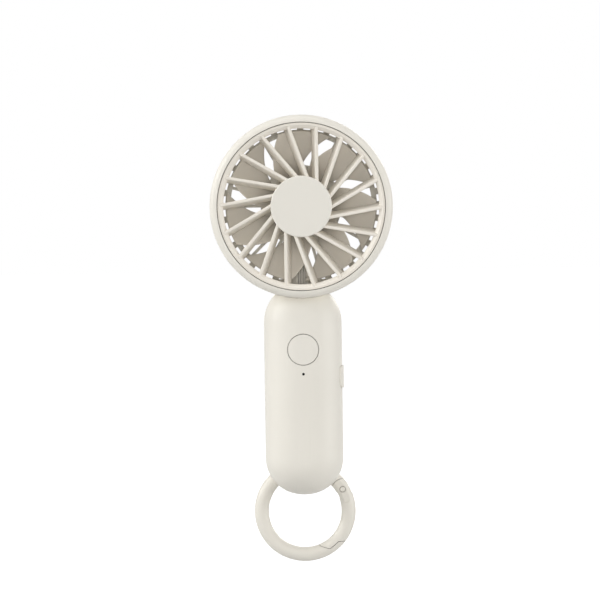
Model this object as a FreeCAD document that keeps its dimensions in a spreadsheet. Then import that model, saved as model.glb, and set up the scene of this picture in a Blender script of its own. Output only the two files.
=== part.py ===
import FreeCAD, Part
import math
import os
import re

import Sketcher

# Handheld battery fan with a gated ring at its foot.
# Frame: millimetres, +Z up, the fan blows towards -Y, +X is the side with the charging socket.
# The origin is the middle of the grip, half way through its depth.

doc = FreeCAD.newDocument("handheld_fan")

# Driving sizes: name, value in millimetres, degrees or pieces, and what it is
SIZES = [
    # head shells
    ("head_height", 87.5, "fan axis above the middle of the grip"),
    ("head_radius", 41.75, "outside of the head"),
    ("head_front", 19.5, "plane of the lip in front of the grip's middle"),
    ("head_back", 18.5, "outer face of the back plate behind it"),
    ("drum_wall", 2.0, "wall of the head"),
    ("back_plate", 2.2, "thickness of the back plate and its bars"),
    ("lip_round", 3.4, "rounding of the lip"),
    ("back_round", 4.0, "rounding of the head's back corner"),
    ("parting", 1.0, "plane where the front and back shells meet"),
    ("parting_width", 0.3, "fine groove between the two shells"),
    ("parting_depth", 0.4, "depth of that groove"),
    ("lap_length", 2.0, "spigot of the back shell inside the front shell"),
    ("lap_wall", 0.8, "wall of the spigot"),
    ("fit_gap", 0.15, "gap round a piece set into another"),
    # grip shells
    ("grip_width", 35.8, "width of the grip"),
    ("grip_depth", 32.0, "depth of the grip"),
    ("grip_land", 2.0, "straight band along the grip's sides"),
    ("grip_top", 34.2, "centre of the round top end"),
    ("grip_bottom", 45.5, "lowest point below the grip's middle"),
    ("foot_radius", 21.5, "radius of the foot's middle"),
    ("foot_corner", 17.0, "radius of the foot's corners"),
    ("grip_wall", 1.8, "wall of the grip"),
    # back grille
    ("seat_radius", 18.8, "disc in the middle of the back grille"),
    ("ring_inner", 32.8, "inside of the back grille's outer ring"),
    ("bar_count", 24, "bars of the back grille"),
    ("bar_width", 1.45, "width of a bar"),
    ("slot_count", 36, "slots in the head's back corner"),
    ("slot_inner", 35.2, "inner end of a slot"),
    ("slot_length", 3.8, "radial length of a slot"),
    ("slot_width", 3.2, "width of a slot"),
    ("neck_width", 25.0, "closed stretch of the back plate at the neck"),
    ("neck_height", 7.5, "height of that stretch"),
    ("neck_overlap", 1.0, "that stretch above the inner ends of the slots"),
    # front grille
    ("grille_radius", 38.2, "outside of the grille's rim"),
    ("seam_gap", 0.25, "seam between rim and lip"),
    ("grille_recess", 0.3, "rim's face behind the lip's plane"),
    ("rim_width", 2.75, "radial width of the rim"),
    ("rim_depth", 7.0, "depth of the rim"),
    ("rim_face", 1.1, "flat face of the rim"),
    ("rim_slope", 1.5, "depth of the slope inside that face"),
    ("rim_draft", 0.2, "rim thinner at its back"),
    ("rim_round", 0.5, "rounding of the rim's front edges"),
    ("ledge_reach", 1.6, "ledge behind the rim, overlap"),
    ("ledge_thick", 1.4, "thickness of the ledge"),
    ("rib_count", 18, "swirled ribs"),
    ("rib_width", 1.5, "width of a rib"),
    ("rib_depth", 6.0, "depth of a rib"),
    ("rib_recess", 0.2, "ribs' face behind the rim's face"),
    ("rib_offset", 7.46, "distance of a rib's line from the fan axis"),
    ("rib_slant", 1.9, "sideways step of a rib from front to back"),
    ("boss_radius", 13.2, "hub of the grille behind the cap"),
    ("boss_wall", 1.4, "wall of that hub"),
    ("clip_count", 4, "clips on the rim"),
    ("clip_width", 4.0, "width of a clip"),
    ("clip_leg", 0.8, "thickness of a clip's leg"),
    ("clip_hook", 0.8, "reach of a clip's hook"),
    ("cap_radius", 14.0, "cap in the middle of the grille"),
    ("cap_thick", 1.6, "thickness of the cap"),
    ("cap_round", 0.6, "rounding of the cap's edge"),
    ("cap_skirt", 2.4, "depth of the cap's skirt"),
    # impeller
    ("blade_count", 7, "blades"),
    ("blade_gap", 2.0, "ribs to blades"),
    ("blade_tip", 34.5, "radius of the blade tips"),
    ("blade_depth", 11.0, "depth of a blade along the axis"),
    ("blade_span", 40.7, "angle that a blade covers"),
    ("blade_sweep", 1.417, "degrees that a blade leans for each millimetre of radius"),
    ("blade_phase", 39.9, "clockwise angle of the first blade's middle"),
    ("blade_thick", 1.3, "thickness of a blade"),
    ("blade_camber", 0.06, "hollow of a blade as a share of its depth"),
    ("hub_radius", 13.0, "outside of the hub"),
    ("hub_wall", 1.2, "wall of the hub"),
    ("hub_depth", 13.0, "depth of the hub"),
    ("hub_round", 1.2, "rounding of the hub's nose"),
    ("hub_proud", 0.4, "hub's nose in front of the blades"),
    # motor
    ("rotor_wall", 0.8, "steel of the rotor cup"),
    ("rotor_depth", 11.0, "depth of the rotor cup"),
    ("magnet_thick", 1.3, "magnet ring"),
    ("magnet_depth", 8.6, "depth of the magnet ring"),
    ("air_gap", 0.4, "magnet to stator"),
    ("stator_height", 5.0, "stack of the stator"),
    ("tooth_count", 9, "stator teeth"),
    ("tooth_width", 1.8, "width of a tooth"),
    ("tooth_tip", 1.0, "depth of a tooth's tip"),
    ("tooth_opening", 1.2, "gap between two tips"),
    ("coil_gap", 0.2, "winding to core and tips"),
    ("core_wall", 1.4, "ring inside the teeth"),
    ("coil_wall", 0.9, "winding round a tooth"),
    ("shaft_radius", 1.0, "shaft"),
    ("shaft_play", 0.03, "clearance of the shaft in its bearings"),
    ("bearing_radius", 3.0, "outside of a bearing"),
    ("bearing_width", 2.5, "width of a bearing"),
    ("tube_wall", 1.0, "bearing tube"),
    ("tube_length", 12.8, "bearing tube in front of the motor's base"),
    ("base_thick", 1.5, "motor's base plate"),
    ("base_radius", 11.8, "outside of that plate"),
    ("base_depth", 5.2, "front face of that plate behind the grip's middle"),
    ("bearing_inset", 1.8, "end of the rear bearing before that plate's back face"),
    ("shaft_inset", 0.5, "end of the shaft before that plate's back face"),
    ("board_lift", 2.0, "motor board in front of the base plate"),
    ("motor_board_thick", 1.0, "motor board"),
    ("clip_radius", 2.2, "retaining clip on the shaft"),
    ("clip_thick", 0.4, "thickness of that clip"),
    ("clip_play", 0.1, "end play of the shaft"),
    ("motor_screw_circle", 8.6, "pitch radius of the motor screws"),
    ("motor_screw_radius", 0.9, "shank of a motor screw"),
    ("motor_screw_length", 7.0, "shank below the head"),
    ("motor_boss_radius", 2.2, "boss of a motor screw"),
    ("pedestal_wall", 1.6, "wall of the motor's pedestal"),
    ("screw_head_height", 1.2, "head of a screw"),
    ("screw_head_ratio", 1.8, "head of a screw over its shank"),
    ("screw_recess", 0.5, "depth of the cross in a screw's head"),
    ("cross_reach", 0.6, "arm of that cross over the head's radius"),
    ("cross_width", 0.25, "half width of an arm over the shank's radius"),
    ("screw_play", 0.1, "clearance round a screw"),
    ("pilot_spare", 0.5, "screw hole beyond the screw's end"),
    # button, light and boards
    ("button_height", 22.15, "button's centre above the grip's middle"),
    ("button_radius", 6.95, "button"),
    ("button_gap", 0.3, "gap round the button"),
    ("button_travel", 0.45, "press of the button"),
    ("button_flange", 1.0, "flange that keeps the button in"),
    ("flange_thick", 0.8, "thickness of that flange"),
    ("collar_depth", 3.1, "flat seat of the flange behind the grip's face"),
    ("collar_wall", 1.4, "ring of material round the flange"),
    ("stem_radius", 1.4, "stem behind the button"),
    ("switch_size", 6.0, "side of the push switch"),
    ("switch_height", 2.5, "height of the push switch"),
    ("plunger_radius", 1.6, "plunger of the push switch"),
    ("plunger_rise", 0.5, "plunger above the push switch"),
    ("light_height", 10.95, "status light above the grip's middle"),
    ("light_radius", 0.5, "window of the status light"),
    ("light_gap", 0.05, "gap round that window"),
    ("pipe_flange", 1.3, "flange of the light pipe"),
    ("lamp_length", 1.6, "length of the light's chip"),
    ("lamp_width", 0.8, "width of the light's chip"),
    ("lamp_height", 0.8, "height of the light's chip"),
    ("board_front", 6.4, "front face of the control board before the grip's middle"),
    ("board_thick", 1.2, "control board"),
    ("board_width", 25.0, "width of the control board"),
    ("board_top", 33.0, "top edge of the control board"),
    ("board_bottom", 14.0, "bottom edge below the grip's middle"),
    ("post_spread", 9.5, "board posts to either side"),
    ("post_inset", 3.0, "board posts from the board's ends"),
    ("post_radius", 1.9, "board post"),
    ("chip_size", 4.0, "side of a chip"),
    ("chip_height", 1.0, "height of a chip"),
    ("coil_side", 5.0, "side of the boost coil"),
    ("coil_edge", 10.8, "outer edge of the boost coil to the left"),
    ("coil_height", 3.0, "height of the boost coil"),
    ("board_screw_radius", 0.8, "shank of a board screw"),
    ("board_screw_length", 3.6, "shank in the post"),
    # cell
    ("cell_radius", 9.2, "cell"),
    ("cell_length", 65.0, "length of the cell"),
    ("cell_bottom", 27.2, "cell's lower end below the grip's middle"),
    ("cell_pad_thick", 0.4, "foam between cell and back shell"),
    ("pad_width", 5.8, "width of that foam"),
    ("pad_inset", 8.1, "ends of that foam before the cell's ends"),
    ("cell_play", 0.1, "gap between cell and cradle"),
    ("tab_thick", 0.2, "nickel tab"),
    ("tab_width", 5.0, "width of a nickel tab"),
    ("cradle_thick", 1.4, "cradle rib"),
    ("cradle_depth", 6.0, "where the cradle ribs start behind the grip's middle"),
    # shell screws
    ("shell_screw_spread", 12.9, "shell screws to either side"),
    ("shell_screw_top", 38.0, "upper shell screws"),
    ("shell_screw_bottom", 18.5, "lower shell screws below the grip's middle"),
    ("shell_screw_radius", 0.9, "shank of a shell screw"),
    ("shell_screw_length", 8.0, "shank of a shell screw"),
    ("shell_boss_radius", 2.8, "boss of a shell screw"),
    ("shell_screw_seat", 4.2, "seat of the screw head behind the parting plane"),
    # charging socket and its cover
    ("port_height", 9.0, "socket above the grip's middle"),
    ("port_depth", 3.6, "socket's middle before the grip's middle"),
    ("port_long", 8.94, "outside length of the socket"),
    ("port_thick", 3.2, "outside thickness of the socket"),
    ("port_wall", 0.3, "sheet of the socket"),
    ("port_land", 0.15, "flat band on the socket's rounded ends"),
    ("port_reach", 7.2, "length of the socket along X"),
    ("port_recess", 2.4, "socket's mouth inside the grip's side"),
    ("tongue_long", 6.7, "length of the socket's tongue"),
    ("tongue_thick", 0.7, "thickness of the tongue"),
    ("cover_long", 10.1, "length of the cover"),
    ("cover_wide", 7.0, "width of the cover"),
    ("cover_proud", 0.67, "cover above the grip's side"),
    ("cover_sink", 0.8, "cover below the grip's side"),
    ("cover_corner", 2.4, "corner radius of the cover"),
    ("cover_plug", 1.3, "depth of the cover's plug"),
    ("plug_gap", 0.35, "gap round that plug and round the socket"),
    # carabiner ring
    ("ring_radius", 20.15, "centre line of the ring"),
    ("ring_wire", 3.3, "half thickness of the ring"),
    ("ring_depth", 10.3, "plane of the ring behind the grip's middle"),
    ("ring_height", 54.2, "centre of the ring below the grip's middle"),
    ("ring_clearance", 0.35, "gap between ring and eye"),
    ("eye_wall", 1.6, "wall round the ring's eye"),
    ("eye_reach", 16.0, "half length of the eye along X"),
    ("ring_swing", 150.0, "angle that the ring swings up behind the grip"),
    ("latch_radius", 20.7, "circle along which the gate's end overlaps the ring"),
    ("latch_outer", 24.2, "outer end of that overlap, from the gate's pin"),
    ("latch_inner", 28.2, "inner end of that overlap, from the gate's pin"),
    ("pin_angle", 60.0, "gate's pin, clockwise from the top of the ring"),
    ("ear_radius", 4.75, "round end of the gate"),
    ("ear_gap", 0.22, "gap between gate and ring"),
    ("ear_flat", 3.0, "half thickness of the gate at its pin"),
    ("tongue_half", 1.1, "half thickness of the ring's tongue"),
    ("tongue_gap", 0.15, "gap between tongue and gate"),
    ("tongue_round", 3.0, "round end of the tongue"),
    ("pin_radius", 0.8, "gate's pin"),
    ("pin_head", 1.38, "head of the pin"),
    ("pin_head_gap", 0.14, "gap round that head"),
    ("pin_head_thick", 0.6, "thickness of the head"),
    ("pin_proud", 0.1, "head above the gate's flat"),
    ("pin_play", 0.05, "clearance of the pin in the tongue"),
    ("spring_radius", 0.85, "centre line of the gate's spring"),
    ("spring_wire", 0.15, "half thickness of its wire"),
    ("spring_turns", 6, "turns of the spring"),
    ("spring_length", 4.6, "length of the spring"),
    ("spring_angle", 80.0, "where the spring's axis points on the ring"),
    ("spring_play", 0.1, "gap round the spring"),
    # wires
    ("lead_radius", 0.5, "wire with its insulation"),
    ("lead_pitch", 1.3, "motor wires side by side"),
    ("lead_depth", 9.6, "motor wires behind the grip's middle"),
    ("lead_circle", 9.6, "motor wires below the fan axis"),
    ("lead_level", 41.5, "where the motor wires cross to the board"),
    ("lead_front", 9.9, "motor wires before the board"),
    ("lead_landing", 30.5, "where the motor wires meet the board"),
    ("lead_bend", 3.0, "bend of the motor wires"),
    ("landing_bend", 2.5, "their last bend"),
    ("cell_lead_side", 7.0, "cell's wires to either side"),
    ("cell_lead_depth", 3.4, "cell's wires before the grip's middle"),
    ("cell_lead_bend", 1.2, "bend of the cell's wires"),
    ("plus_landing", 27.0, "where the cell's upper wire meets the board"),
    ("minus_landing", 6.0, "where its lower wire does, below the grip's middle"),
    ("bridge_width", 5.6, "bar that carries the motor wires"),
    ("bridge_floor", 0.9, "depth of the bar's groove beyond the wires"),
]

sheet = doc.addObject("Spreadsheet::Sheet", "sizes")
for row, (alias, number, meaning) in enumerate(SIZES, start=1):
    sheet.set(f"A{row}", meaning)
    sheet.set(f"B{row}", str(number))
    sheet.setAlias(f"B{row}", alias)
doc.recompute()
ALIASES = {alias for alias, number, meaning in SIZES}

X_AXIS = FreeCAD.Vector(1, 0, 0)
Y_AXIS = FreeCAD.Vector(0, 1, 0)
Z_AXIS = FreeCAD.Vector(0, 0, 1)


# Expressions over the sizes

def full(text):
    """The expression with the list's name before each size."""
    return re.sub(r"[a-z_]+", lambda found: "sizes." * (found.group() in ALIASES) + found.group(), text)


def size(text):
    """The number that an expression over the sizes comes to."""
    return float(sheet.evalExpression(text))


def bind(thing, place, text):
    thing.setExpression(place, full(text))


# Planes and lengths that several pieces share
LIP_PLANE = "(-head_front)"
RIM_FRONT = f"({LIP_PLANE} + grille_recess)"
RIM_BACK = f"({RIM_FRONT} + rim_depth)"
RIB_FRONT = f"({RIM_FRONT} + rib_recess)"
RIB_BACK = f"({RIB_FRONT} + rib_depth)"
BEZEL_RADIUS = "(grille_radius + seam_gap)"
LEDGE_RADIUS = "(grille_radius - ledge_reach)"
LEDGE_BACK = f"({RIM_BACK} + ledge_thick)"
DRUM_RADIUS = "(head_radius - drum_wall)"
PLATE_FRONT = "(head_back - back_plate)"
BLADE_FRONT = f"({RIB_BACK} + blade_gap)"
HUB_FRONT = f"({BLADE_FRONT} - hub_proud)"
ROTOR_RADIUS = "(hub_radius - hub_wall)"
ROTOR_FRONT = f"({HUB_FRONT} + hub_wall)"
MAGNET_RADIUS = f"({ROTOR_RADIUS} - rotor_wall)"
STATOR_RADIUS = f"({MAGNET_RADIUS} - magnet_thick - air_gap)"
MAGNET_BACK = f"({ROTOR_FRONT} + rotor_depth)"
MAGNET_FRONT = f"({MAGNET_BACK} - magnet_depth)"
STATOR_FRONT = f"({MAGNET_FRONT} + (magnet_depth - stator_height) / 2)"
STATOR_BACK = f"({STATOR_FRONT} + stator_height)"
TUBE_RADIUS = "(bearing_radius + tube_wall)"
TUBE_FRONT = "(base_depth - tube_length)"
BASE_BACK = "(base_depth + base_thick)"
GRIP_FRONT = "(-grip_depth / 2)"
BOARD_FRONT = "(-board_front)"
BOARD_BACK = "(board_thick - board_front)"
CELL_DEPTH = "(grip_depth / 2 - grip_wall - cell_pad_thick - cell_radius)"
CELL_TOP = "(cell_length - cell_bottom)"
RING_TOP = "(ring_radius - ring_height)"

# Lengths this close count as equal, and an edge this near to an axis counts as along it
SAME_LENGTH = 0.01
SAME_WAY = 0.99


# Makers of plain shapes

def origin_item(body, role):
    return [item for item in body.Origin.OriginFeatures if item.Role == role][0]


def outline(body, name, role, corners):
    """Closed outline of straight lines from corner to corner."""
    sketch = body.newObject("Sketcher::SketchObject", name)
    sketch.AttachmentSupport = [(origin_item(body, role), "")]
    sketch.MapMode = "FlatFace"
    spots = [FreeCAD.Vector(size(across), size(along), 0) for across, along in corners]
    count = len(spots)
    for index in range(count):
        sketch.addGeometry(Part.LineSegment(spots[index], spots[(index + 1) % count]))
    for index in range(count):
        sketch.addConstraint(Sketcher.Constraint("Coincident", index, 2, (index + 1) % count, 1))
    for index, (across, along) in enumerate(corners):
        for kind, text in (("DistanceX", across), ("DistanceY", along)):
            number = sketch.addConstraint(Sketcher.Constraint(kind, -1, 1, index, 1, size(text)))
            bind(sketch, f"Constraints[{number}]", text)
    return sketch


def turn(body, name, corners):
    """Ring about the fan axis; the corners are (radius, depth) pairs."""
    sketch = outline(body, name + "_profile", "XY_Plane", corners)
    feature = body.newObject("PartDesign::Revolution", name)
    feature.Profile = sketch
    feature.ReferenceAxis = (sketch, ["V_Axis"])
    feature.Angle = 360
    return feature


def groove(body, name, corners):
    """Ring cut out about the fan axis."""
    feature = body.newObject("PartDesign::Groove", name)
    sketch = outline(body, name + "_profile", "XY_Plane", corners)
    feature.Profile = sketch
    feature.ReferenceAxis = (sketch, ["V_Axis"])
    feature.Angle = 360
    return feature


def turned(label, corners):
    """Body whose first feature is a ring about the fan axis."""
    body = doc.addObject("PartDesign::Body", label)
    turn(body, label + "_turn", corners)
    bind(body, "Placement.Base.z", "head_height")
    return body


def pad(body, name, role, corners, start, length):
    """Straight pad of an outline, from start along the plane's normal."""
    sketch = outline(body, name + "_profile", role, corners)
    bind(sketch, "AttachmentOffset.Base.z", start)
    feature = body.newObject("PartDesign::Pad", name)
    feature.Profile = sketch
    bind(feature, "Length", length)
    return feature


def pocket(body, name, role, corners, start, length):
    """Straight cut of an outline, from start along the plane's normal."""
    sketch = outline(body, name + "_profile", role, corners)
    bind(sketch, "AttachmentOffset.Base.z", start)
    feature = body.newObject("PartDesign::Pocket", name)
    feature.Profile = sketch
    feature.Reversed = True
    bind(feature, "Length", length)
    return feature


def repeat(body, name, features, count):
    """Copies of features, evenly round the fan axis."""
    pattern = body.newObject("PartDesign::PolarPattern", name)
    pattern.Originals = features
    pattern.Axis = (origin_item(body, "Y_Axis"), [""])
    pattern.Angle = 360
    bind(pattern, "Occurrences", count)
    body.Tip = pattern
    return pattern


def round_edges(body, name, test, radius):
    """Fillet on the tip's edges that pass the test."""
    doc.recompute()
    base = body.Tip
    names = [f"Edge{number}" for number, edge in enumerate(base.Shape.Edges, start=1) if test(edge)]
    feature = body.newObject("PartDesign::Fillet", name)
    feature.Base = (base, names)
    bind(feature, "Radius", radius)
    return feature


def circle_at(edge, radius, depth):
    """True for a full circle about the fan axis of this radius at this depth."""
    curve = edge.Curve
    if not isinstance(curve, Part.Circle):
        return False
    return abs(curve.Radius - size(radius)) < SAME_LENGTH and abs(curve.Center.y - size(depth)) < SAME_LENGTH


def rod(label, radius, start, length, across="0", up="0"):
    """Round bar along +Y."""
    thing = doc.addObject("Part::Cylinder", label)
    thing.Placement = FreeCAD.Placement(FreeCAD.Vector(), FreeCAD.Rotation(X_AXIS, -90))
    bind(thing, "Radius", radius)
    bind(thing, "Height", length)
    bind(thing, "Placement.Base.x", across)
    bind(thing, "Placement.Base.y", start)
    bind(thing, "Placement.Base.z", up)
    return thing


def block(label, low, high):
    """Box between two corners, each three expressions."""
    thing = doc.addObject("Part::Box", label)
    for place, first, last in zip(("Length", "Width", "Height"), low, high):
        bind(thing, place, f"{last} - ({first})")
    for place, first in zip("xyz", low):
        bind(thing, f"Placement.Base.{place}", first)
    return thing


def fuse(label, things, refine=True):
    joined = doc.addObject("Part::MultiFuse", label)
    joined.Shapes = things
    joined.Refine = refine
    return joined


def cut(label, base, tool):
    thing = doc.addObject("Part::Cut", label)
    thing.Base = base
    thing.Tool = tool
    thing.Refine = True
    return thing


def common(label, things):
    thing = doc.addObject("Part::MultiCommon", label)
    thing.Shapes = things
    return thing


def shaped(label, shape):
    """Piece whose surfaces are worked out from the sizes."""
    thing = doc.addObject("Part::Feature", label)
    thing.Shape = shape
    return thing


NODES = []


def node(thing, name):
    """Names a finished sub-part."""
    thing.Label = name
    NODES.append(thing)
    return thing


# Grip forms: the round-ended grip, as it is outside or set in by a wall

def grip_form(label, inset):
    """Pad of the grip's front outline with both long edges rounded to the side band."""
    half = f"(grip_width / 2 - ({inset}))"
    corner = f"(foot_corner - ({inset}))"
    foot = f"(foot_radius - ({inset}))"
    corner_x = "(grip_width / 2 - foot_corner)"
    foot_z = "(foot_radius - grip_bottom)"
    corner_z = f"({foot_z} - sqrt((foot_radius - foot_corner)^2 - {corner_x}^2))"
    body = doc.addObject("PartDesign::Body", label)
    sketch = body.newObject("Sketcher::SketchObject", label + "_outline")
    sketch.AttachmentSupport = [(origin_item(body, "XZ_Plane"), "")]
    sketch.MapMode = "FlatFace"
    top_centre = FreeCAD.Vector(0, size("grip_top"), 0)
    foot_centre = FreeCAD.Vector(0, size(foot_z), 0)
    right_centre = FreeCAD.Vector(size(corner_x), size(corner_z), 0)
    left_centre = FreeCAD.Vector(-size(corner_x), size(corner_z), 0)
    lean = math.atan2(right_centre.y - foot_centre.y, right_centre.x)
    circles = [
        (top_centre, half, 0, math.pi),
        (left_centre, corner, math.pi, math.pi - lean),
        (foot_centre, foot, math.pi - lean, 2 * math.pi + lean),
        (right_centre, corner, lean, 0),
    ]
    for centre, radius, start, end in circles:
        sketch.addGeometry(Part.ArcOfCircle(Part.Circle(centre, Z_AXIS, size(radius)), start, end))
    side = X_AXIS * size(half)
    top_height = Y_AXIS * top_centre.y
    corner_height = Y_AXIS * left_centre.y
    sketch.addGeometry(Part.LineSegment(top_height - side, corner_height - side))
    sketch.addGeometry(Part.LineSegment(corner_height + side, top_height + side))
    joints = [(0, 2, 4, 1), (4, 2, 1, 1), (1, 2, 2, 1), (2, 2, 3, 1), (3, 2, 5, 1), (5, 2, 0, 1)]
    for first, first_end, second, second_end in joints:
        sketch.addConstraint(Sketcher.Constraint("Tangent", first, first_end, second, second_end))
    for index in (0, 2):
        sketch.addConstraint(Sketcher.Constraint("PointOnObject", index, 3, -2))
    sketch.addConstraint(Sketcher.Constraint("Vertical", 4))
    sketch.addConstraint(Sketcher.Constraint("Equal", 1, 3))
    for index, radius in ((0, half), (1, corner), (2, foot)):
        number = sketch.addConstraint(Sketcher.Constraint("Radius", index, size(radius)))
        bind(sketch, f"Constraints[{number}]", radius)
    for index, height in ((0, "grip_top"), (2, foot_z)):
        number = sketch.addConstraint(Sketcher.Constraint("DistanceY", -1, 1, index, 3, size(height)))
        bind(sketch, f"Constraints[{number}]", height)
    block_pad = body.newObject("PartDesign::Pad", label + "_pad")
    block_pad.Profile = sketch
    block_pad.Midplane = True
    bind(block_pad, "Length", f"grip_depth - 2 * ({inset})")
    face = size(f"grip_depth / 2 - ({inset})")
    edge_radius = f"min(grip_depth - grip_land; grip_width - grip_land) / 2 - ({inset})"
    round_edges(body, label + "_round",
                lambda rim: all(abs(abs(corner.Point.y) - face) < SAME_LENGTH for corner in rim.Vertexes),
                edge_radius)
    return body


grip_outer = grip_form("grip_outer", "0")
grip_inner = grip_form("grip_inner", "grip_wall")


# Each shell is a head moulding and half of the hollow grip, joined where the grip meets the drum.
grip_shell = cut("grip_shell", grip_outer, grip_inner)
ABOVE_HEAD = "(head_height + head_radius)"
front_half = block(
    "front_half",
    ("-grip_width", "-grip_depth", "-grip_bottom - grip_width"),
    ("grip_width", "parting", ABOVE_HEAD))
back_half = block(
    "back_half",
    ("-grip_width", "parting", "-grip_bottom - grip_width"),
    ("grip_width", "grip_depth", ABOVE_HEAD))
head_void = rod("head_void", "head_radius - drum_wall / 2", "-grip_depth", "2 * grip_depth", up="head_height")

# Screw bosses and board posts run the whole depth of the grip and stop at its skin.
boss_spots = [(side, level) for side in ("-", "") for level in ("shell_screw_top", "(-shell_screw_bottom)")]
post_levels = ("(board_top - post_inset)", "(post_inset - board_bottom)")
post_spots = [(side, level) for side in ("-", "") for level in post_levels]
boss_rods = [
    rod(f"boss_rod_{number}", "shell_boss_radius", "-grip_depth / 2", "grip_depth",
        f"{side}shell_screw_spread", level)
    for number, (side, level) in enumerate(boss_spots)]
bosses = common("bosses", [fuse("boss_rods", boss_rods), grip_outer])
post_rods = [
    rod(f"post_rod_{number}", "post_radius", GRIP_FRONT, f"grip_depth / 2 + {BOARD_FRONT}",
        f"{side}post_spread", level)
    for number, (side, level) in enumerate(post_spots)]
posts = common("posts", [fuse("post_rods", post_rods), grip_outer])

# Front shell: lip, ledge for the grille, front of the grip with its holes
COLLAR_BACK = f"({GRIP_FRONT} + collar_depth)"
front_drum = turned("front_drum", [
    (BEZEL_RADIUS, LIP_PLANE),
    ("head_radius", LIP_PLANE),
    ("head_radius", "parting - parting_width"),
    ("head_radius - parting_depth", "parting - parting_width"),
    ("head_radius - parting_depth", "parting"),
    (f"{DRUM_RADIUS} + lap_wall + fit_gap", "parting"),
    (f"{DRUM_RADIUS} + lap_wall + fit_gap", "parting - lap_length"),
    (DRUM_RADIUS, "parting - lap_length"),
    (DRUM_RADIUS, LEDGE_BACK),
    (LEDGE_RADIUS, LEDGE_BACK),
    (LEDGE_RADIUS, RIM_BACK),
    (BEZEL_RADIUS, RIM_BACK),
])
round_edges(front_drum, "lip_rounding", lambda edge: circle_at(edge, "head_radius", LIP_PLANE),
            "min(lip_round; head_radius - grille_radius - seam_gap - fit_gap)")
front_grip = cut("front_grip", common("front_grip_half", [grip_shell, front_half]), head_void)
groove_band = block(
    "groove_band",
    ("-grip_width", "parting - parting_width", "-grip_bottom - grip_width"),
    ("grip_width", "parting", ABOVE_HEAD))
groove_limit = fuse("groove_limit", [
    grip_form("groove_floor", "parting_depth"),
    rod("groove_end", "head_radius", "-grip_depth", "2 * grip_depth", up="head_height")])
grip_groove = cut("grip_groove", common("grip_groove_ring", [grip_outer, groove_band]), groove_limit)
collar = common("button_collar", [
    rod("collar_rod", "button_radius + button_gap + button_flange + collar_wall", GRIP_FRONT, "collar_depth",
        up="button_height"),
    grip_outer])
FLANGE_FRONT = f"({COLLAR_BACK} + fit_gap)"
front_solid = fuse("front_solid", [
    front_drum,
    front_grip,
    collar,
    cut("front_posts", posts, head_void),
    common("front_bosses", [bosses, front_half])])


def side_bar(label, wide, tall, corner, start, end):
    """Bar along X about the charging socket's axis, with rounded corners."""
    body = doc.addObject("PartDesign::Body", label)
    pad(body, label + "_pad", "YZ_Plane", [
        (f"-port_depth - ({wide}) / 2", f"port_height - ({tall}) / 2"),
        (f"-port_depth + ({wide}) / 2", f"port_height - ({tall}) / 2"),
        (f"-port_depth + ({wide}) / 2", f"port_height + ({tall}) / 2"),
        (f"-port_depth - ({wide}) / 2", f"port_height + ({tall}) / 2"),
    ], start, f"{end} - ({start})")
    round_edges(body, label + "_corners",
                lambda edge: abs(edge.tangentAt(edge.FirstParameter).x) > SAME_WAY, corner)
    return body


cover_space = cut("cover_space",
                  side_bar("cover_recess", "cover_wide + 2 * fit_gap", "cover_long + 2 * fit_gap",
                           "cover_corner + fit_gap", "grip_width / 4", "grip_width"),
                  grip_form("cover_floor", "cover_sink + fit_gap"))
SIDE = "(grip_width / 2)"
port_hole = side_bar("port_hole", "port_thick + 2 * plug_gap", "port_long + 2 * plug_gap",
                     "port_thick / 2", f"{SIDE} - 2 * grip_wall - port_recess", f"{SIDE} + grip_wall")
screw_pilots = [
    rod(f"screw_pilot_{number}", "shell_screw_radius + shaft_play",
        "parting + shell_screw_seat - shell_screw_length - pilot_spare", "shell_screw_length",
        f"{side}shell_screw_spread", level)
    for number, (side, level) in enumerate(boss_spots)]
post_pilots = [
    rod(f"post_pilot_{number}", "board_screw_radius + shaft_play",
        f"{BOARD_BACK} - board_screw_length - pilot_spare", "board_screw_length + pilot_spare",
        f"{side}post_spread", level)
    for number, (side, level) in enumerate(post_spots)]
front_holes = fuse("front_holes", [
    rod("button_hole", "button_radius + button_gap", f"2 * {GRIP_FRONT}", "grip_depth", up="button_height"),
    rod("light_hole", "light_radius + light_gap", f"2 * {GRIP_FRONT}", "grip_depth", up="light_height"),
    cover_space,
    port_hole,
    grip_groove,
] + screw_pilots + post_pilots)
node(cut("front_housing_cut", front_solid, front_holes), "front_housing")

# Back shell: drum with spigot, back plate with bars and slots, motor pedestal, back of the grip
back_drum = turned("back_drum", [
    ("ring_inner", PLATE_FRONT),
    (DRUM_RADIUS, PLATE_FRONT),
    (DRUM_RADIUS, "parting - lap_length + fit_gap"),
    (f"{DRUM_RADIUS} + lap_wall", "parting - lap_length + fit_gap"),
    (f"{DRUM_RADIUS} + lap_wall", "parting"),
    ("head_radius", "parting"),
    ("head_radius", "head_back"),
    ("ring_inner", "head_back"),
])
round_edges(back_drum, "back_rounding",
            lambda edge: circle_at(edge, "head_radius", "head_back"), "back_round")
slot = outline(back_drum, "slot_profile", "XZ_Plane", [
    ("-slot_width / 2", "slot_inner"),
    ("slot_width / 2", "slot_inner"),
    ("slot_width / 2", "slot_inner + slot_length"),
    ("-slot_width / 2", "slot_inner + slot_length"),
])
half_slot_step = FreeCAD.Rotation(Z_AXIS, size("180 / slot_count"))
slot.AttachmentOffset = FreeCAD.Placement(FreeCAD.Vector(), half_slot_step)
slot_pocket = back_drum.newObject("PartDesign::Pocket", "slot")
slot_pocket.Profile = slot
bind(slot_pocket, "Length", "2 * head_back")
repeat(back_drum, "slots", [slot_pocket], "slot_count")
bar = pad(back_drum, "bar", "XY_Plane", [
    ("-bar_width / 2", PLATE_FRONT),
    ("bar_width / 2", PLATE_FRONT),
    ("bar_width / 2", "head_back"),
    ("-bar_width / 2", "head_back"),
], "0", "(ring_inner + slot_inner) / 2")
repeat(back_drum, "bars", [bar], "bar_count")
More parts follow.
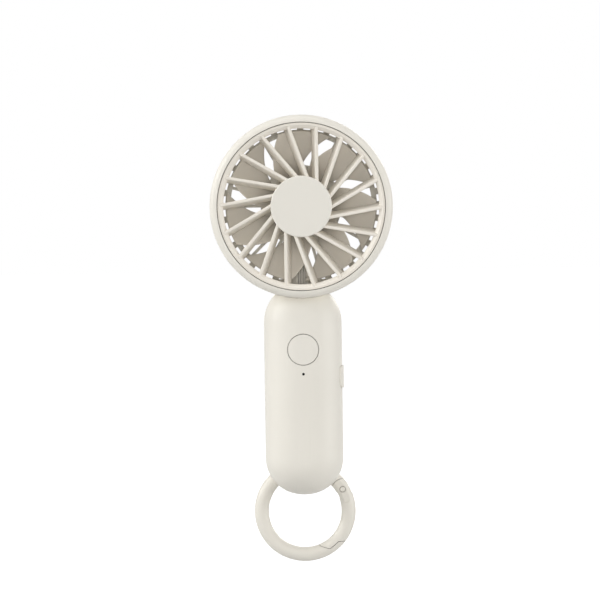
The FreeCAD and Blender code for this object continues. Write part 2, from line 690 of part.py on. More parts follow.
turn(back_drum, "motor_seat", [
    ("0", PLATE_FRONT),
    ("seat_radius", PLATE_FRONT),
    ("seat_radius", "head_back"),
    ("0", "head_back"),
])
turn(back_drum, "pedestal", [
    ("base_radius - pedestal_wall", BASE_BACK),
    ("base_radius", BASE_BACK),
    ("base_radius", f"{PLATE_FRONT} + back_plate / 2"),
    ("base_radius - pedestal_wall", f"{PLATE_FRONT} + back_plate / 2"),
])
NECK_TOP = "(head_height - slot_inner + neck_overlap)"
neck_plate = block(
    "neck_plate",
    ("-neck_width / 2", PLATE_FRONT, f"{NECK_TOP} - neck_height"),
    ("neck_width / 2", "head_back", NECK_TOP))
drum_disc = rod("drum_disc", "head_radius - back_round", "0", "head_back", up="head_height")
motor_screw_spots = [
    (f"motor_screw_circle * sin({angle})", f"head_height + motor_screw_circle * cos({angle})")
    for angle in (0, 120, 240)]
motor_bosses = [
    rod(f"motor_boss_{number}", "motor_boss_radius", BASE_BACK,
        f"{PLATE_FRONT} + back_plate / 2 - {BASE_BACK}", across, up)
    for number, (across, up) in enumerate(motor_screw_spots)]
LEAD_BAR_FRONT = "(lead_depth - lead_radius)"
lead_bar = block(
    "lead_bar",
    ("-bridge_width / 2", LEAD_BAR_FRONT, "head_height - head_radius + drum_wall / 2"),
    ("bridge_width / 2", f"{PLATE_FRONT} + back_plate / 2", "head_height - base_radius + pedestal_wall / 2"))

# The eye for the ring: what the ring sweeps as it swings, and the same grown by a wall
EYE_SHARE = 0.98


def ring_space(label, gap):
    """Space that the ring takes while it swings up behind the grip, grown by a gap."""
    thick = size("ring_wire") + gap
    radius = size("ring_radius")
    inside = radius - thick
    reach = min(size("eye_reach"), EYE_SHARE * inside)
    top = FreeCAD.Vector(0, size("ring_depth"), size(RING_TOP))
    drop = radius - math.sqrt(inside * inside - reach * reach)
    left_top = top - X_AXIS * reach
    right_top = top + X_AXIS * reach
    edges = [
        Part.LineSegment(left_top, right_top).toShape(),
        Part.LineSegment(right_top, right_top - Z_AXIS * drop).toShape(),
        Part.Arc(right_top - Z_AXIS * drop, top - Z_AXIS * thick, left_top - Z_AXIS * drop).toShape(),
        Part.LineSegment(left_top - Z_AXIS * drop, left_top).toShape(),
    ]
    space = Part.Face(Part.Wire(edges)).revolve(top, X_AXIS, size("ring_swing"))
    for angle in (0, size("ring_swing")):
        ring = Part.makeTorus(radius, thick, top - Z_AXIS * radius, Y_AXIS)
        ring.rotate(top, X_AXIS, angle)
        space = space.fuse(ring)
    return shaped(label, space)


eye_space = ring_space("eye_space", size("ring_clearance"))
eye_lining = common("eye_lining", [
    ring_space("eye_lining_form", size("ring_clearance + eye_wall")),
    common("grip_back_solid", [grip_outer, back_half])])
head_clearance = rod("head_clearance", "head_radius + fit_gap", "-grip_depth", "2 * grip_depth",
                     up="head_height")
boss_clearances = [
    rod(f"boss_clearance_{number}", "shell_boss_radius + fit_gap",
        "-grip_depth / 2", "grip_depth / 2 + parting", f"{side}shell_screw_spread", level)
    for number, (side, level) in enumerate(boss_spots)]
lap = common("grip_lap", [
    cut("grip_lap_ring", grip_form("lap_outer", "grip_wall + fit_gap"),
        grip_form("lap_inner", "grip_wall + fit_gap + lap_wall")),
    block("lap_band",
          ("-grip_width", "parting - lap_length + fit_gap", "-grip_bottom"),
          ("grip_width", "parting + lap_length", ABOVE_HEAD))])
lap_root = common("grip_lap_root", [
    cut("grip_lap_root_ring", grip_form("lap_root_outer", "grip_wall / 2"),
        grip_form("lap_root_inner", "grip_wall + fit_gap + lap_wall")),
    block("lap_root_band",
          ("-grip_width", "parting", "-grip_bottom"),
          ("grip_width", "parting + lap_length", ABOVE_HEAD))])
cradle_levels = (
    "(-shell_screw_bottom + shell_boss_radius + cradle_thick)",
    "(port_height - cradle_thick)",
    "(board_top - cradle_thick)")
cradle_slabs = [
    block(f"cradle_slab_{number}",
          ("-grip_width / 2", "cradle_depth", level),
          ("grip_width / 2", "grip_depth / 2 - grip_wall / 2", f"{level} + cradle_thick"))
    for number, level in enumerate(cradle_levels)]
stop_level = f"({CELL_TOP} + tab_thick + cell_play)"
top_stop = block(
    "top_stop_slab",
    ("-cell_radius", "cradle_depth", stop_level),
    ("cell_radius", "grip_depth / 2 - grip_wall / 2", f"{stop_level} + cradle_thick"))
cradle = common("cradle", [
    fuse("cradle_slabs", cradle_slabs + [top_stop]),
    grip_form("cradle_form", "grip_wall / 2")])
cell_space = doc.addObject("Part::Cylinder", "cell_space")
bind(cell_space, "Radius", "cell_radius + cell_play")
bind(cell_space, "Height", "cell_length + 2 * (tab_thick + cell_play)")
bind(cell_space, "Placement.Base.y", CELL_DEPTH)
bind(cell_space, "Placement.Base.z", "-cell_bottom - tab_thick - cell_play")
PAD_LOW = "(-cell_bottom + pad_inset)"
PAD_HIGH = f"({CELL_TOP} - pad_inset)"
pad_space = block(
    "pad_space",
    ("-pad_width / 2 - cell_play", CELL_DEPTH, f"{PAD_LOW} - cell_play"),
    ("pad_width / 2 + cell_play", "grip_depth / 2 - grip_wall", f"{PAD_HIGH} + cell_play"))
lap_clearances = fuse("lap_clearances", [head_clearance] + boss_clearances)
back_solid = fuse("back_solid", [
    back_drum,
    common("neck_fill", [neck_plate, drum_disc]),
    cut("back_grip", common("back_grip_half", [grip_shell, back_half]), head_void),
    cut("back_lap", fuse("laps", [lap, lap_root]), lap_clearances),
    eye_lining,
    common("back_bosses", [bosses, back_half]),
    cradle,
    lead_bar,
] + motor_bosses)

screw_clearances = []
for number, (side, level) in enumerate(boss_spots):
    across = f"{side}shell_screw_spread"
    seat = "parting + shell_screw_seat"
    screw_clearances.append(
        rod(f"screw_way_{number}", "shell_screw_radius + screw_play", "0", "grip_depth", across, level))
    screw_clearances.append(
        rod(f"screw_well_{number}", "2 * shell_screw_radius + screw_play", seat, "grip_depth", across, level))
motor_pilots = [
    rod(f"motor_pilot_{number}", "motor_screw_radius + shaft_play", "base_depth",
        "motor_screw_length + pilot_spare", across, up)
    for number, (across, up) in enumerate(motor_screw_spots)]
LEAD_WAY = "(lead_pitch + lead_radius + fit_gap)"
lead_way = block(
    "lead_way",
    (f"-{LEAD_WAY}", "base_depth", "head_height - head_radius - drum_wall"),
    (LEAD_WAY, "lead_depth + lead_radius + bridge_floor", "head_height - lead_circle"))
back_spaces = [eye_space, cell_space, pad_space, lead_way]
back_holes = fuse("back_holes", back_spaces + screw_clearances + motor_pilots)
back_clipped = cut("back_clipped", back_solid, back_holes)
back_port = fuse("back_port", [port_hole, cover_space])
node(cut("back_housing_cut", back_clipped, back_port), "rear_housing")

# Front grille: rim, swirled ribs, hub and clips in one moulding
grille = turned("front_grille_body", [
    ("grille_radius - rim_width", f"{RIM_FRONT} + rim_slope"),
    ("grille_radius - rim_face", RIM_FRONT),
    ("grille_radius", RIM_FRONT),
    ("grille_radius", RIM_BACK),
    ("grille_radius - rim_width + rim_draft", RIM_BACK),
])
rib = pad(grille, "rib", "XY_Plane", [
    ("rib_offset - rib_width / 2", RIB_FRONT),
    ("rib_offset + rib_width / 2", RIB_FRONT),
    ("rib_offset + rib_width / 2 - rib_slant", RIB_BACK),
    ("rib_offset - rib_width / 2 - rib_slant", RIB_BACK),
], "sqrt((boss_radius - boss_wall / 2)^2 - (rib_offset + rib_width / 2)^2)",
          "sqrt((grille_radius - rim_width / 2)^2 - rib_offset^2)"
          " - sqrt((boss_radius - boss_wall / 2)^2 - (rib_offset + rib_width / 2)^2)")
repeat(grille, "ribs", [rib], "rib_count")
CAP_FRONT = "(-head_front)"
CAP_BACK = f"({CAP_FRONT} + cap_thick)"
turn(grille, "grille_hub", [
    ("0", f"{RIB_BACK} - boss_wall"),
    ("boss_radius - boss_wall", f"{RIB_BACK} - boss_wall"),
    ("boss_radius - boss_wall", CAP_BACK),
    ("boss_radius", CAP_BACK),
    ("boss_radius", RIB_BACK),
    ("0", RIB_BACK),
])
groove(grille, "cap_seat", [
    ("0", "-2 * head_front"),
    ("cap_radius + fit_gap", "-2 * head_front"),
    ("cap_radius + fit_gap", CAP_BACK),
    ("boss_radius - boss_wall", CAP_BACK),
    ("boss_radius - boss_wall", f"{RIB_BACK} - boss_wall"),
    ("0", f"{RIB_BACK} - boss_wall"),
])
CLIP_OUT = f"({LEDGE_RADIUS} - fit_gap)"
leg = pad(grille, "clip_leg", "YZ_Plane", [
    (RIM_BACK, f"{CLIP_OUT} - clip_leg"),
    (RIM_BACK, CLIP_OUT),
    (f"{LEDGE_BACK} + fit_gap", CLIP_OUT),
    (f"{LEDGE_BACK} + fit_gap", f"{CLIP_OUT} + clip_hook"),
    (f"{LEDGE_BACK} + fit_gap + clip_leg", f"{CLIP_OUT} + clip_hook"),
    (f"{LEDGE_BACK} + fit_gap + 2 * clip_leg", f"{CLIP_OUT} - clip_leg"),
], "-clip_width / 2", "clip_width")
repeat(grille, "clips", [leg], "clip_count")
round_edges(grille, "rim_rounding", lambda edge: circle_at(edge, "grille_radius", RIM_FRONT), "rim_round")
node(grille, "front_grille")

# Cap: flat disc with a skirt that snaps into the grille's hub
cap = turned("grille_cap_body", [
    ("0", CAP_FRONT),
    ("cap_radius", CAP_FRONT),
    ("cap_radius", CAP_BACK),
    ("boss_radius - boss_wall - fit_gap", CAP_BACK),
    ("boss_radius - boss_wall - fit_gap", f"{CAP_BACK} + cap_skirt"),
    ("boss_radius - 2 * boss_wall - fit_gap", f"{CAP_BACK} + cap_skirt"),
    ("boss_radius - 2 * boss_wall - fit_gap", CAP_BACK),
    ("0", CAP_BACK),
])
round_edges(cap, "cap_rounding", lambda edge: circle_at(edge, "cap_radius", CAP_FRONT), "cap_round")
node(cap, "grille_cap")

# Impeller: hub cup and wide swept blades in one moulding
BLADE_STATIONS = 7

hub = turned("impeller_hub", [
    ("0", HUB_FRONT),
    ("hub_radius", HUB_FRONT),
    ("hub_radius", f"{HUB_FRONT} + hub_depth"),
    (ROTOR_RADIUS, f"{HUB_FRONT} + hub_depth"),
    (ROTOR_RADIUS, ROTOR_FRONT),
    ("0", ROTOR_FRONT),
])
round_edges(hub, "hub_rounding", lambda edge: circle_at(edge, "hub_radius", HUB_FRONT), "hub_round")


def blade_point(across, radius, face):
    """Point of a blade: across is 0 at its front edge and 1 at its back, face is -1 in front and 1 behind."""
    middle_radius = (size("hub_radius") + size("blade_tip")) / 2
    turned_by = size("blade_phase") + size("blade_sweep") * (radius - middle_radius)
    angle = math.radians(turned_by + (across - 0.5) * size("blade_span"))
    hollow = size("blade_camber") * math.sin(math.pi * across)
    half_thickness = size("blade_thick") / 2
    depth = size(BLADE_FRONT) + half_thickness + across * (size("blade_depth") - 2 * half_thickness)
    depth += size("blade_depth") * hollow + face * half_thickness
    return FreeCAD.Vector(radius * math.sin(angle), depth, radius * math.cos(angle))


def blade_shape():
    """One blade as a closed shell: two smooth faces and the four strips between them."""
    root = size("hub_radius - hub_wall / 2")
    tip = size("blade_tip")
    spread = [step / (BLADE_STATIONS - 1) for step in range(BLADE_STATIONS)]
    radii = [root + (tip - root) * share for share in spread]
    surfaces = []
    for face in (-1, 1):
        surface = Part.BSplineSurface()
        surface.interpolate([[blade_point(across, radius, face) for across in spread] for radius in radii])
        surfaces.append(surface)
    first, second = surfaces
    faces = [first.toShape(), second.toShape()]
    for number in range(2):
        bound = first.bounds()[number]
        faces.append(Part.makeRuledSurface(first.uIso(bound).toShape(), second.uIso(bound).toShape()))
        bound = first.bounds()[number + 2]
        faces.append(Part.makeRuledSurface(first.vIso(bound).toShape(), second.vIso(bound).toShape()))
    shell = Part.makeShell(faces)
    shell.sewShape()
    solid = Part.makeSolid(shell)
    if solid.Volume < 0:
        solid.reverse()
    return solid


blade = blade_shape()
blade_solids = []
for number in range(int(size("blade_count"))):
    copy = blade.copy()
    copy.rotate(FreeCAD.Vector(), Y_AXIS, 360 * number / size("blade_count"))
    copy.translate(Z_AXIS * size("head_height"))
    blade_solids.append(shaped(f"blade_{number}", copy))
node(fuse("impeller_solid", [hub] + blade_solids, refine=False), "impeller")

# Rotor: steel cup, magnet ring, shaft and the clip that keeps it in
SHAFT_HUB = f"({TUBE_FRONT} - clip_play)"
node(turned("rotor_cup_body", [
    ("shaft_radius", ROTOR_FRONT),
    (ROTOR_RADIUS, ROTOR_FRONT),
    (ROTOR_RADIUS, MAGNET_BACK),
    (MAGNET_RADIUS, MAGNET_BACK),
    (MAGNET_RADIUS, f"{ROTOR_FRONT} + rotor_wall"),
    ("clip_radius", f"{ROTOR_FRONT} + rotor_wall"),
    ("clip_radius", SHAFT_HUB),
    ("shaft_radius", SHAFT_HUB),
]), "rotor_cup")
node(turned("magnet_ring_body", [
    (f"{MAGNET_RADIUS} - magnet_thick", MAGNET_FRONT),
    (MAGNET_RADIUS, MAGNET_FRONT),
    (MAGNET_RADIUS, MAGNET_BACK),
    (f"{MAGNET_RADIUS} - magnet_thick", MAGNET_BACK),
]), "magnet_ring")
CLIP_FRONT = f"({BASE_BACK} - bearing_inset + clip_play)"
node(rod("motor_shaft", "shaft_radius", ROTOR_FRONT, f"{BASE_BACK} - shaft_inset - {ROTOR_FRONT}",
         up="head_height"), "motor_shaft")
node(turned("shaft_clip_body", [
    ("shaft_radius", CLIP_FRONT),
    ("clip_radius", CLIP_FRONT),
    ("clip_radius", f"{CLIP_FRONT} + clip_thick"),
    ("shaft_radius", f"{CLIP_FRONT} + clip_thick"),
]), "shaft_clip")


# Stator side: base with the bearing tube, two bearings, laminated core, windings, board and screws

def bearing(name, front):
    """Plain bearing pressed into the tube."""
    node(turned(name + "_body", [
        ("shaft_radius + shaft_play", front),
        ("bearing_radius", front),
        ("bearing_radius", f"{front} + bearing_width"),
        ("shaft_radius + shaft_play", f"{front} + bearing_width"),
    ]), name)


bearing("front_bearing", TUBE_FRONT)
bearing("rear_bearing", f"({CLIP_FRONT} - clip_play - bearing_width)")
base_plate = turned("motor_base_plate", [
    ("bearing_radius", TUBE_FRONT),
    (TUBE_RADIUS, TUBE_FRONT),
    (TUBE_RADIUS, "base_depth"),
    ("base_radius", "base_depth"),
    ("base_radius", BASE_BACK),
    ("bearing_radius", BASE_BACK),
])
base_holes = [
    rod(f"base_hole_{number}", "motor_screw_radius + screw_play", "base_depth - base_thick", "3 * base_thick",
        across, up)
    for number, (across, up) in enumerate(motor_screw_spots)]
base_notch = block(
    "base_notch",
    (f"-{LEAD_WAY}", "base_depth - base_thick", "head_height - 2 * base_radius"),
    (LEAD_WAY, f"{BASE_BACK} + base_thick", "head_height - lead_circle + lead_radius + fit_gap"))
node(cut("motor_base_cut", base_plate, fuse("base_cuts", base_holes + [base_notch])), "motor_base")

core = turned("stator_core_body", [
    (TUBE_RADIUS, STATOR_FRONT),
    (f"{TUBE_RADIUS} + core_wall", STATOR_FRONT),
    (f"{TUBE_RADIUS} + core_wall", STATOR_BACK),
    (TUBE_RADIUS, STATOR_BACK),
])
tooth = pad(core, "tooth", "XY_Plane", [
    ("-tooth_width / 2", STATOR_FRONT),
    ("tooth_width / 2", STATOR_FRONT),
    ("tooth_width / 2", STATOR_BACK),
    ("-tooth_width / 2", STATOR_BACK),
], f"{TUBE_RADIUS} + core_wall / 2", f"{STATOR_RADIUS} - tooth_tip / 2 - {TUBE_RADIUS} - core_wall / 2")
repeat(core, "teeth", [tooth], "tooth_count")
turn(core, "tips", [
    (f"{STATOR_RADIUS} - tooth_tip", STATOR_FRONT),
    (STATOR_RADIUS, STATOR_FRONT),
    (STATOR_RADIUS, STATOR_BACK),
    (f"{STATOR_RADIUS} - tooth_tip", STATOR_BACK),
])
tip_slot = pocket(core, "tip_slot", "XY_Plane", [
    ("-tooth_opening / 2", f"{STATOR_FRONT} - tooth_tip"),
    ("tooth_opening / 2", f"{STATOR_FRONT} - tooth_tip"),
    ("tooth_opening / 2", f"{STATOR_BACK} + tooth_tip"),
    ("-tooth_opening / 2", f"{STATOR_BACK} + tooth_tip"),
], f"{STATOR_RADIUS} - 2 * tooth_tip", "3 * tooth_tip")
HALF_STEP = "(180 / tooth_count)"
slot_sketch = tip_slot.Profile[0]
slot_sketch.AttachmentOffset = FreeCAD.Placement(FreeCAD.Vector(), FreeCAD.Rotation(Y_AXIS, size(HALF_STEP)))
bind(slot_sketch, "AttachmentOffset.Rotation.Angle", HALF_STEP)
bind(slot_sketch, "AttachmentOffset.Base.x", f"({STATOR_RADIUS} - 2 * tooth_tip) * sin({HALF_STEP})")
bind(slot_sketch, "AttachmentOffset.Base.z", f"({STATOR_RADIUS} - 2 * tooth_tip) * cos({HALF_STEP})")
repeat(core, "tip_slots", [tip_slot], "tooth_count")
node(core, "stator_core")

coils = doc.addObject("PartDesign::Body", "stator_coils_body")
COIL_FOOT = f"({TUBE_RADIUS} + core_wall + coil_gap)"
COIL_LENGTH = f"({STATOR_RADIUS} - tooth_tip - coil_gap - {COIL_FOOT})"
winding = pad(coils, "winding", "XY_Plane", [
    ("-tooth_width / 2 - coil_wall", f"{STATOR_FRONT} - coil_wall"),
    ("tooth_width / 2 + coil_wall", f"{STATOR_FRONT} - coil_wall"),
    ("tooth_width / 2 + coil_wall", f"{STATOR_BACK} + coil_wall"),
    ("-tooth_width / 2 - coil_wall", f"{STATOR_BACK} + coil_wall"),
], COIL_FOOT, COIL_LENGTH)
window = pocket(coils, "winding_window", "XY_Plane", [
    ("-tooth_width / 2", STATOR_FRONT),
    ("tooth_width / 2", STATOR_FRONT),
    ("tooth_width / 2", STATOR_BACK),
    ("-tooth_width / 2", STATOR_BACK),
], COIL_FOOT, COIL_LENGTH)
repeat(coils, "windings", [winding, window], "tooth_count")
bind(coils, "Placement.Base.z", "head_height")
node(coils, "stator_coils")

BOARD_SEAT = "(base_depth - board_lift)"
node(turned("motor_board_body", [
    (TUBE_RADIUS, f"{BOARD_SEAT} - motor_board_thick"),
    ("base_radius - pedestal_wall / 2", f"{BOARD_SEAT} - motor_board_thick"),
    ("base_radius - pedestal_wall / 2", BOARD_SEAT),
    (TUBE_RADIUS, BOARD_SEAT),
]), "motor_board")


# Screws: round heads with a cross, one set of like screws in a node

def screws(name, spots, shank, length, seat, facing):
    """Screws whose heads stand on a seat and look to the front (facing -1) or to the back (facing 1)."""
    head = f"screw_head_ratio * {shank}"
    reach = f"cross_reach * {head}"
    narrow = f"cross_width * {shank}"
    pieces = []
    crosses = []
    if facing < 0:
        head_start = f"{seat} - screw_head_height"
        shank_start = seat
        cross_start = f"{seat} - screw_head_height"
    else:
        head_start = seat
        shank_start = f"{seat} - {length}"
        cross_start = f"{seat} + screw_head_height - screw_recess"
    for number, (across, up) in enumerate(spots):
        pieces.append(rod(f"{name}_head_{number}", head, head_start, "screw_head_height", across, up))
        pieces.append(rod(f"{name}_shank_{number}", shank, shank_start, length, across, up))
        for long, high in ((reach, narrow), (narrow, reach)):
            crosses.append(block(
                f"{name}_cross_{number}",
                (f"{across} - {long}", cross_start, f"{up} - {high}"),
                (f"{across} + {long}", f"{cross_start} + screw_recess", f"{up} + {high}")))
    node(cut(name + "_cut", fuse(name + "_blanks", pieces), fuse(name + "_crosses", crosses)), name)


screws("motor_screws", motor_screw_spots, "motor_screw_radius", "motor_screw_length", "base_depth", -1)
screws("board_screws", [(f"{side}post_spread", level) for side, level in post_spots],
       "board_screw_radius", "board_screw_length", BOARD_BACK, 1)
screws("housing_screws", [(f"{side}shell_screw_spread", level) for side, level in boss_spots],
       "shell_screw_radius", "shell_screw_length", "(parting + shell_screw_seat)", 1)

# Power button: cap with the grip's own curve, flange behind the collar, stem to the switch
SWITCH_FRONT = f"({BOARD_FRONT} - switch_height)"
PLUNGER_FRONT = f"({SWITCH_FRONT} - plunger_rise)"
button_cap = common("button_cap", [
    rod("button_rod", "button_radius", GRIP_FRONT, f"{FLANGE_FRONT} + flange_thick / 2 - {GRIP_FRONT}",
        up="button_height"),
    grip_outer])
button_flange = rod("button_flange", "button_radius + button_flange", FLANGE_FRONT, "flange_thick",
                    up="button_height")
button_stem = rod("button_stem", "stem_radius", FLANGE_FRONT, f"{PLUNGER_FRONT} - {FLANGE_FRONT}",
                  up="button_height")
node(fuse("power_button_solid", [button_cap, button_flange, button_stem]), "power_button")

# Push switch and its plunger
switch_body = block(
    "switch_body",
    ("-switch_size / 2", SWITCH_FRONT, "button_height - switch_size / 2"),
    ("switch_size / 2", BOARD_FRONT, "button_height + switch_size / 2"))
switch_bore = rod("switch_bore", "plunger_radius + screw_play", SWITCH_FRONT, "2 * button_travel + fit_gap",
                  up="button_height")
node(cut("tact_switch_cut", switch_body, switch_bore), "tact_switch")
node(rod("tact_plunger", "plunger_radius", PLUNGER_FRONT, "plunger_rise + button_travel", up="button_height"),
     "tact_plunger")

# Status light: lamp on the board and the light pipe through the shell
LAMP_FRONT = f"({BOARD_FRONT} - lamp_height)"
PIPE_FLANGE = f"({GRIP_FRONT} + grip_wall + light_gap)"
node(block(
    "status_led",
    ("-lamp_length / 2", LAMP_FRONT, "light_height - lamp_width / 2"),
    ("lamp_length / 2", BOARD_FRONT, "light_height + lamp_width / 2")), "status_led")
node(fuse("light_pipe_solid", [
    rod("light_rod", "light_radius", f"{GRIP_FRONT} + light_gap",
        f"{LAMP_FRONT} - 2 * light_gap - {GRIP_FRONT} - light_gap", up="light_height"),
    rod("light_flange", "pipe_flange", PIPE_FLANGE, "flange_thick", up="light_height")]), "light_pipe")

# Control board with its chips and coil
board_blank = block(
    "board_blank",
    ("-board_width / 2", BOARD_FRONT, "-board_bottom"),
    ("board_width / 2", BOARD_BACK, "board_top"))
board_holes = [
    rod(f"board_hole_{number}", "board_screw_radius + screw_play", "-2 * board_front", "2 * board_front",
        f"{side}post_spread", level)
    for number, (side, level) in enumerate(post_spots)]
node(cut("control_board_cut", board_blank, fuse("board_holes", board_holes)), "control_board")

# Lower left corners of the chips, counted in chips from the grip's middle
CHIP_SPOTS = ((-1.8, 0.6), (0.7, -0.6), (-1.2, -2.2))
chips = [
    block(f"chip_{number}",
          (f"{across} * chip_size", f"{BOARD_FRONT} - chip_height", f"{up} * chip_size"),
          (f"{across + 1} * chip_size", BOARD_FRONT, f"{up + 1} * chip_size"))
    for number, (across, up) in enumerate(CHIP_SPOTS)]
node(fuse("board_chips_set", chips), "board_chips")
node(block(
    "boost_coil",
    ("-coil_edge", f"{BOARD_FRONT} - coil_height", "button_height"),
    ("coil_side - coil_edge", BOARD_FRONT, "button_height + coil_side")), "boost_coil")

# Cell with its foam, nickel tabs and two wires
cell = doc.addObject("Part::Cylinder", "battery_cell_solid")
bind(cell, "Radius", "cell_radius")
bind(cell, "Height", "cell_length")
bind(cell, "Placement.Base.y", CELL_DEPTH)
bind(cell, "Placement.Base.z", "-cell_bottom")
node(cell, "battery_cell")
pad_block = block(
    "pad_block",
    ("-pad_width / 2", CELL_DEPTH, PAD_LOW),
    ("pad_width / 2", "grip_depth / 2 - grip_wall", PAD_HIGH))
node(cut("cell_pad_cut", pad_block, cell), "cell_pad")
TAB_EDGE = "(cell_lead_side + tab_width / 2)"
for name, side, low in (("positive_tab", 1, CELL_TOP), ("negative_tab", -1, "(-cell_bottom - tab_thick)")):
    near = "-tab_width / 2" if side > 0 else f"-{TAB_EDGE}"
    far = TAB_EDGE if side > 0 else "tab_width / 2"
    arm = "cell_lead_side - tab_width / 2" if side > 0 else f"-{TAB_EDGE}"
    arm_end = TAB_EDGE if side > 0 else "tab_width / 2 - cell_lead_side"
    node(fuse(name + "_solid", [
        block(name + "_strip",
              (near, f"{CELL_DEPTH} - tab_width / 2", low),
              (far, f"{CELL_DEPTH} + tab_width / 2", f"{low} + tab_thick")),
        block(name + "_arm",
              (arm, "-cell_lead_depth - 2 * lead_radius", low),
              (arm_end, CELL_DEPTH, f"{low} + tab_thick"))]), name)


# Wires: round tubes along straight runs joined by tangent arcs

def tube(label, spots, bends):
    """Wire through the spots, each corner rounded by its own bend radius."""
    radius = size("lead_radius")
    edges = []
    start = spots[0]
    for index, bend in enumerate(bends, start=1):
        corner = spots[index]
        incoming = (corner - spots[index - 1]).normalize()
        outgoing = (spots[index + 1] - corner).normalize()
        half_turn = incoming.getAngle(outgoing) / 2
        first = corner - incoming * (bend * math.tan(half_turn))
        last = corner + outgoing * (bend * math.tan(half_turn))
        inward = (outgoing - incoming).normalize()
        middle = corner + inward * (bend / math.cos(half_turn) - bend)
        edges.append(Part.LineSegment(start, first).toShape())
        edges.append(Part.Arc(first, middle, last).toShape())
        start = last
    edges.append(Part.LineSegment(start, spots[-1]).toShape())
    section = Part.Wire(Part.makeCircle(radius, spots[0], spots[1] - spots[0]))
    return shaped(label, Part.Wire(edges).makePipeShell([section], True, False))


motor_route = [
    (BOARD_SEAT, "head_height - lead_circle"),
    ("lead_depth", "head_height - lead_circle"),
    ("lead_depth", "lead_level"),
    ("-lead_front", "lead_level"),
    ("-lead_front", "lead_landing"),
    (BOARD_FRONT, "lead_landing"),
]
motor_bends = [size(name) for name in ("lead_bend", "lead_bend", "lead_bend", "landing_bend")]
motor_leads = [
    tube(f"motor_lead_{number}",
         [FreeCAD.Vector(number * size("lead_pitch"), size(depth), size(up)) for depth, up in motor_route],
         motor_bends)
    for number in (-1, 0, 1)]
node(fuse("motor_leads_set", motor_leads), "motor_leads")
cell_leads = [
    tube(f"cell_lead_{number}",
         [FreeCAD.Vector(number * size("cell_lead_side"), size(depth), size(up))
          for depth, up in (
              ("-cell_lead_depth", level),
              ("-cell_lead_depth", landing),
              (BOARD_BACK, landing))],
         [size("cell_lead_bend")])
    for number, level, landing in ((1, CELL_TOP, "plus_landing"), (-1, "-cell_bottom", "-minus_landing"))]
node(fuse("battery_leads_set", cell_leads), "battery_leads")

# Charging socket on the back of the board, and its soft cover
SOCKET_MOUTH = f"({SIDE} - port_recess)"
SOCKET_END = f"({SOCKET_MOUTH} - port_reach)"
SOCKET_CORNER = "((port_thick - port_land) / 2)"
socket = side_bar("usb_socket", "port_thick", "port_long", SOCKET_CORNER, SOCKET_END, SOCKET_MOUTH)
socket_hollow = side_bar("usb_hollow", "port_thick - 2 * port_wall", "port_long - 2 * port_wall",
                         f"{SOCKET_CORNER} - port_wall", SOCKET_END, SOCKET_MOUTH)
node(cut("usb_shell_cut", socket, socket_hollow), "usb_shell")
node(fuse("usb_tongue_solid", [
    side_bar("usb_block", "port_thick - 2 * port_wall", "port_long - 2 * port_wall",
             f"{SOCKET_CORNER} - port_wall", SOCKET_END, f"{SOCKET_END} + 2 * tongue_thick"),
    block("usb_blade",
          (SOCKET_END, "-port_depth - tongue_thick / 2", "port_height - tongue_long / 2"),
          (f"{SOCKET_MOUTH} - tongue_thick",
           "-port_depth + tongue_thick / 2",
           "port_height + tongue_long / 2"))]),
     "usb_tongue")
cover_blank = common("cover_blank", [
    side_bar("cover_bar", "cover_wide", "cover_long", "cover_corner", "grip_width / 4", "grip_width"),
    grip_form("cover_face", "-cover_proud")])
PLUG_END = f"({SIDE} - cover_sink - cover_plug)"
cover_plug = side_bar("cover_plug_bar", "port_thick", "port_long", SOCKET_CORNER, PLUG_END, SIDE)
node(fuse("port_cover_solid", [
    cut("cover_shell", cover_blank, grip_form("cover_back", "cover_sink")),
    cover_plug]), "port_cover")

# Carabiner ring: round bar, sprung gate on a pin, the gate's end overlaps the ring's end
PIN_X = "(ring_radius * sin(pin_angle))"
PIN_Z = "(ring_radius * cos(pin_angle) - ring_height)"


def pin_rod(label, radius, half_length):
    """Round bar about the gate's pin, as long to both sides of the ring's plane."""
    return rod(label, radius, f"ring_depth - ({half_length})", f"2 * ({half_length})", PIN_X, PIN_Z)


def slab(label, half_thickness):
    """Flat slab in the ring's plane, wider than the ring."""
    return block(
        label,
        ("-2 * ring_radius", f"ring_depth - ({half_thickness})", "-ring_height - 2 * ring_radius"),
        ("2 * ring_radius", f"ring_depth + {half_thickness}", "-ring_height + 2 * ring_radius"))


def round_bar(label):
    """The ring before it is divided."""
    thing = doc.addObject("Part::Torus", label)
    thing.Placement = FreeCAD.Placement(FreeCAD.Vector(), FreeCAD.Rotation(X_AXIS, -90))
    bind(thing, "Radius1", "ring_radius")
    bind(thing, "Radius2", "ring_wire")
    bind(thing, "Placement.Base.y", "ring_depth")
    bind(thing, "Placement.Base.z", "-ring_height")
    return thing


def gate_side(label):
    """Everything clockwise of the line from the ring's centre through the gate's pin."""
    thing = doc.addObject("Part::Box", label)
    thing.Placement = FreeCAD.Placement(FreeCAD.Vector(), FreeCAD.Rotation(Y_AXIS, size("pin_angle")))
    bind(thing, "Placement.Rotation.Angle", "pin_angle")
    bind(thing, "Length", "3 * ring_radius")
    bind(thing, "Width", "4 * ring_wire")
    bind(thing, "Height", "6 * ring_radius")
    bind(thing, "Placement.Base.x", "-3 * ring_radius * sin(pin_angle)")
    bind(thing, "Placement.Base.y", "ring_depth - 2 * ring_wire")
    bind(thing, "Placement.Base.z", "-ring_height - 3 * ring_radius * cos(pin_angle)")
    return thing


